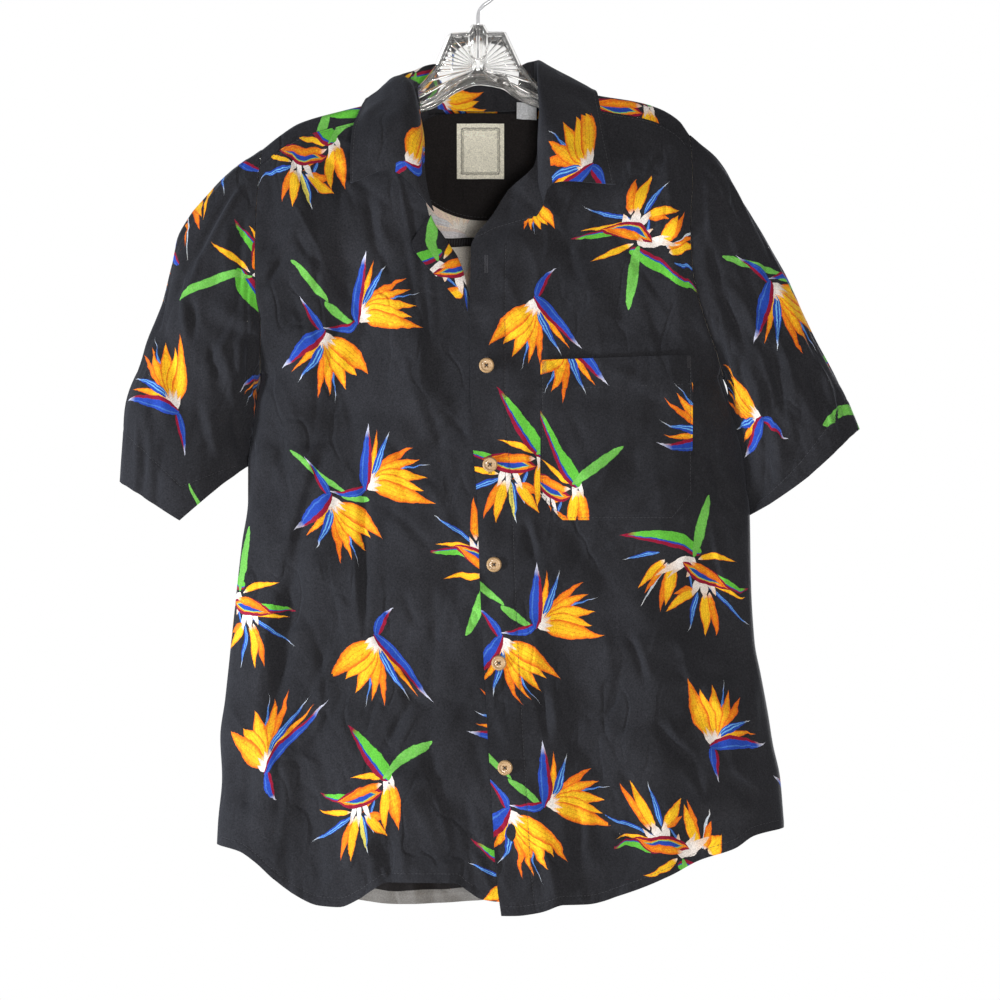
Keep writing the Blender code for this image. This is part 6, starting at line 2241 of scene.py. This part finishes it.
@dataclass
class Studio:
    """Pale floor, even white surroundings, soft lamps and the camera."""

    floor_drop: float = 1.22
    distance: float = 3.0
    width: float = 0.9

    def build(self) -> None:
        """Sets up everything round the object."""
        self.surroundings()
        self.floor()
        self.lamp("key", (-2.2, -0.85, -1.05), 0.3, 68.0, (0.84, 0.91, 1.0))
        self.lamp("front", (0.3, -2.8, -0.65), 0.5, 42.0, (1.0, 0.985, 0.96))
        self.lamp("top", (0.1, 0.6, 1.2), 1.0, 5.0, (1.0, 1.0, 1.0))
        self.lamp("back", (1.5, 2.1, -0.35), 0.5, 44.0, (1.0, 1.0, 1.0))
        self.camera()

    @staticmethod
    def surroundings() -> None:
        """White light from all round."""
        scene = bpy.context.scene
        scene.view_settings.view_transform = "Standard"
        world = bpy.data.worlds.new("studio")
        world.use_nodes = True
        background = world.node_tree.nodes["Background"]
        background.inputs["Color"].default_value = (1.0, 1.0, 1.0, 1.0)
        sheet = NodeSheet(world.node_tree)
        rays = sheet.put("LightPath").outputs
        bright = sheet.math("MAXIMUM", rays["Is Camera Ray"], rays["Is Transmission Ray"])
        rest = sheet.scaled(rays["Is Glossy Ray"], 0.45, 0.20)
        sheet.feed(background.inputs["Strength"], sheet.math("MAXIMUM", bright, rest))
        scene.world = world

    def floor(self) -> None:
        """A pale round floor below the shirt."""
        turn = np.linspace(0, 2 * math.pi, 97)[:-1]
        rim = np.stack([0.02 + 1.15 * np.cos(turn), 1.15 * np.sin(turn), np.full(96, -self.floor_drop)], -1)
        floor = make_object("floor", rim, [list(range(96))])
        material, _, shader = new_material("pale_floor")
        shader.inputs["Base Color"].default_value = (0.86, 0.86, 0.85, 1.0)
        shader.inputs["Roughness"].default_value = 0.7
        shader.inputs["Emission Color"].default_value = (1.0, 1.0, 1.0, 1.0)
        shader.inputs["Emission Strength"].default_value = 0.35
        floor.data.materials.append(material)

    @staticmethod
    def lamp(name: str, place: tuple[float, float, float], size: float, power: float,
             colour: RGB) -> None:
        """A square soft lamp aimed at the shirt's middle."""
        light = bpy.data.lights.new(name, "AREA")
        light.size = size
        light.energy = power
        light.color = colour
        lamp = bpy.data.objects.new(name, light)
        lamp.location = place
        lamp.rotation_euler = (Vector((0.02, 0, -0.45)) - Vector(place)).to_track_quat("-Z", "Y").to_euler()
        bpy.context.scene.collection.objects.link(lamp)

    def camera(self) -> None:
        """Camera level with the shirt's middle, square on to its front."""
        data = bpy.data.cameras.new("camera")
        data.sensor_width = 36.0
        data.lens = 36.0 * self.distance / self.width
        camera = bpy.data.objects.new("camera", data)
        camera.location = (0.0198, -self.distance, -0.48825)
        camera.rotation_euler = (math.pi / 2, 0, 0)
        bpy.context.scene.collection.objects.link(camera)
        bpy.context.scene.camera = camera


@dataclass
class Shirt:
    """The whole shirt on its hanger."""

    finishes: Finishes

    def build(self) -> None:
        """Builds every piece in sewing order."""
        parts = [FrontPanel(-1), FrontPanel(1), BackPanel(), Yoke(), NeckFacing(), Lapel(), Collar(),
                 Sleeve(-1), Sleeve(1), Pocket(),
                 SewnLabel("neck_label", -19.4, 23.5, 146.2, 196.2, 0.0, 1.4),
                 SewnLabel("care_label", 35.0, 53.0, 128.0, 143.0, 1.5, 4.0, Slot.GREY)]
        parts += [Button(number, x, drop) for number, (x, drop) in enumerate(zip(*BUTTONS.values()), start=1)]
        parts += [Hanger(), Hook()]
        for part in parts:
            piece = part.build(self.finishes)
            LOG.info("built %s", piece.name)


def main() -> None:
    """Builds studio and shirt."""
    logging.basicConfig(level=logging.INFO, format="%(message)s")
    Studio().build()
    Shirt(Finishes()).build()


if __name__ == "__main__":
    main()
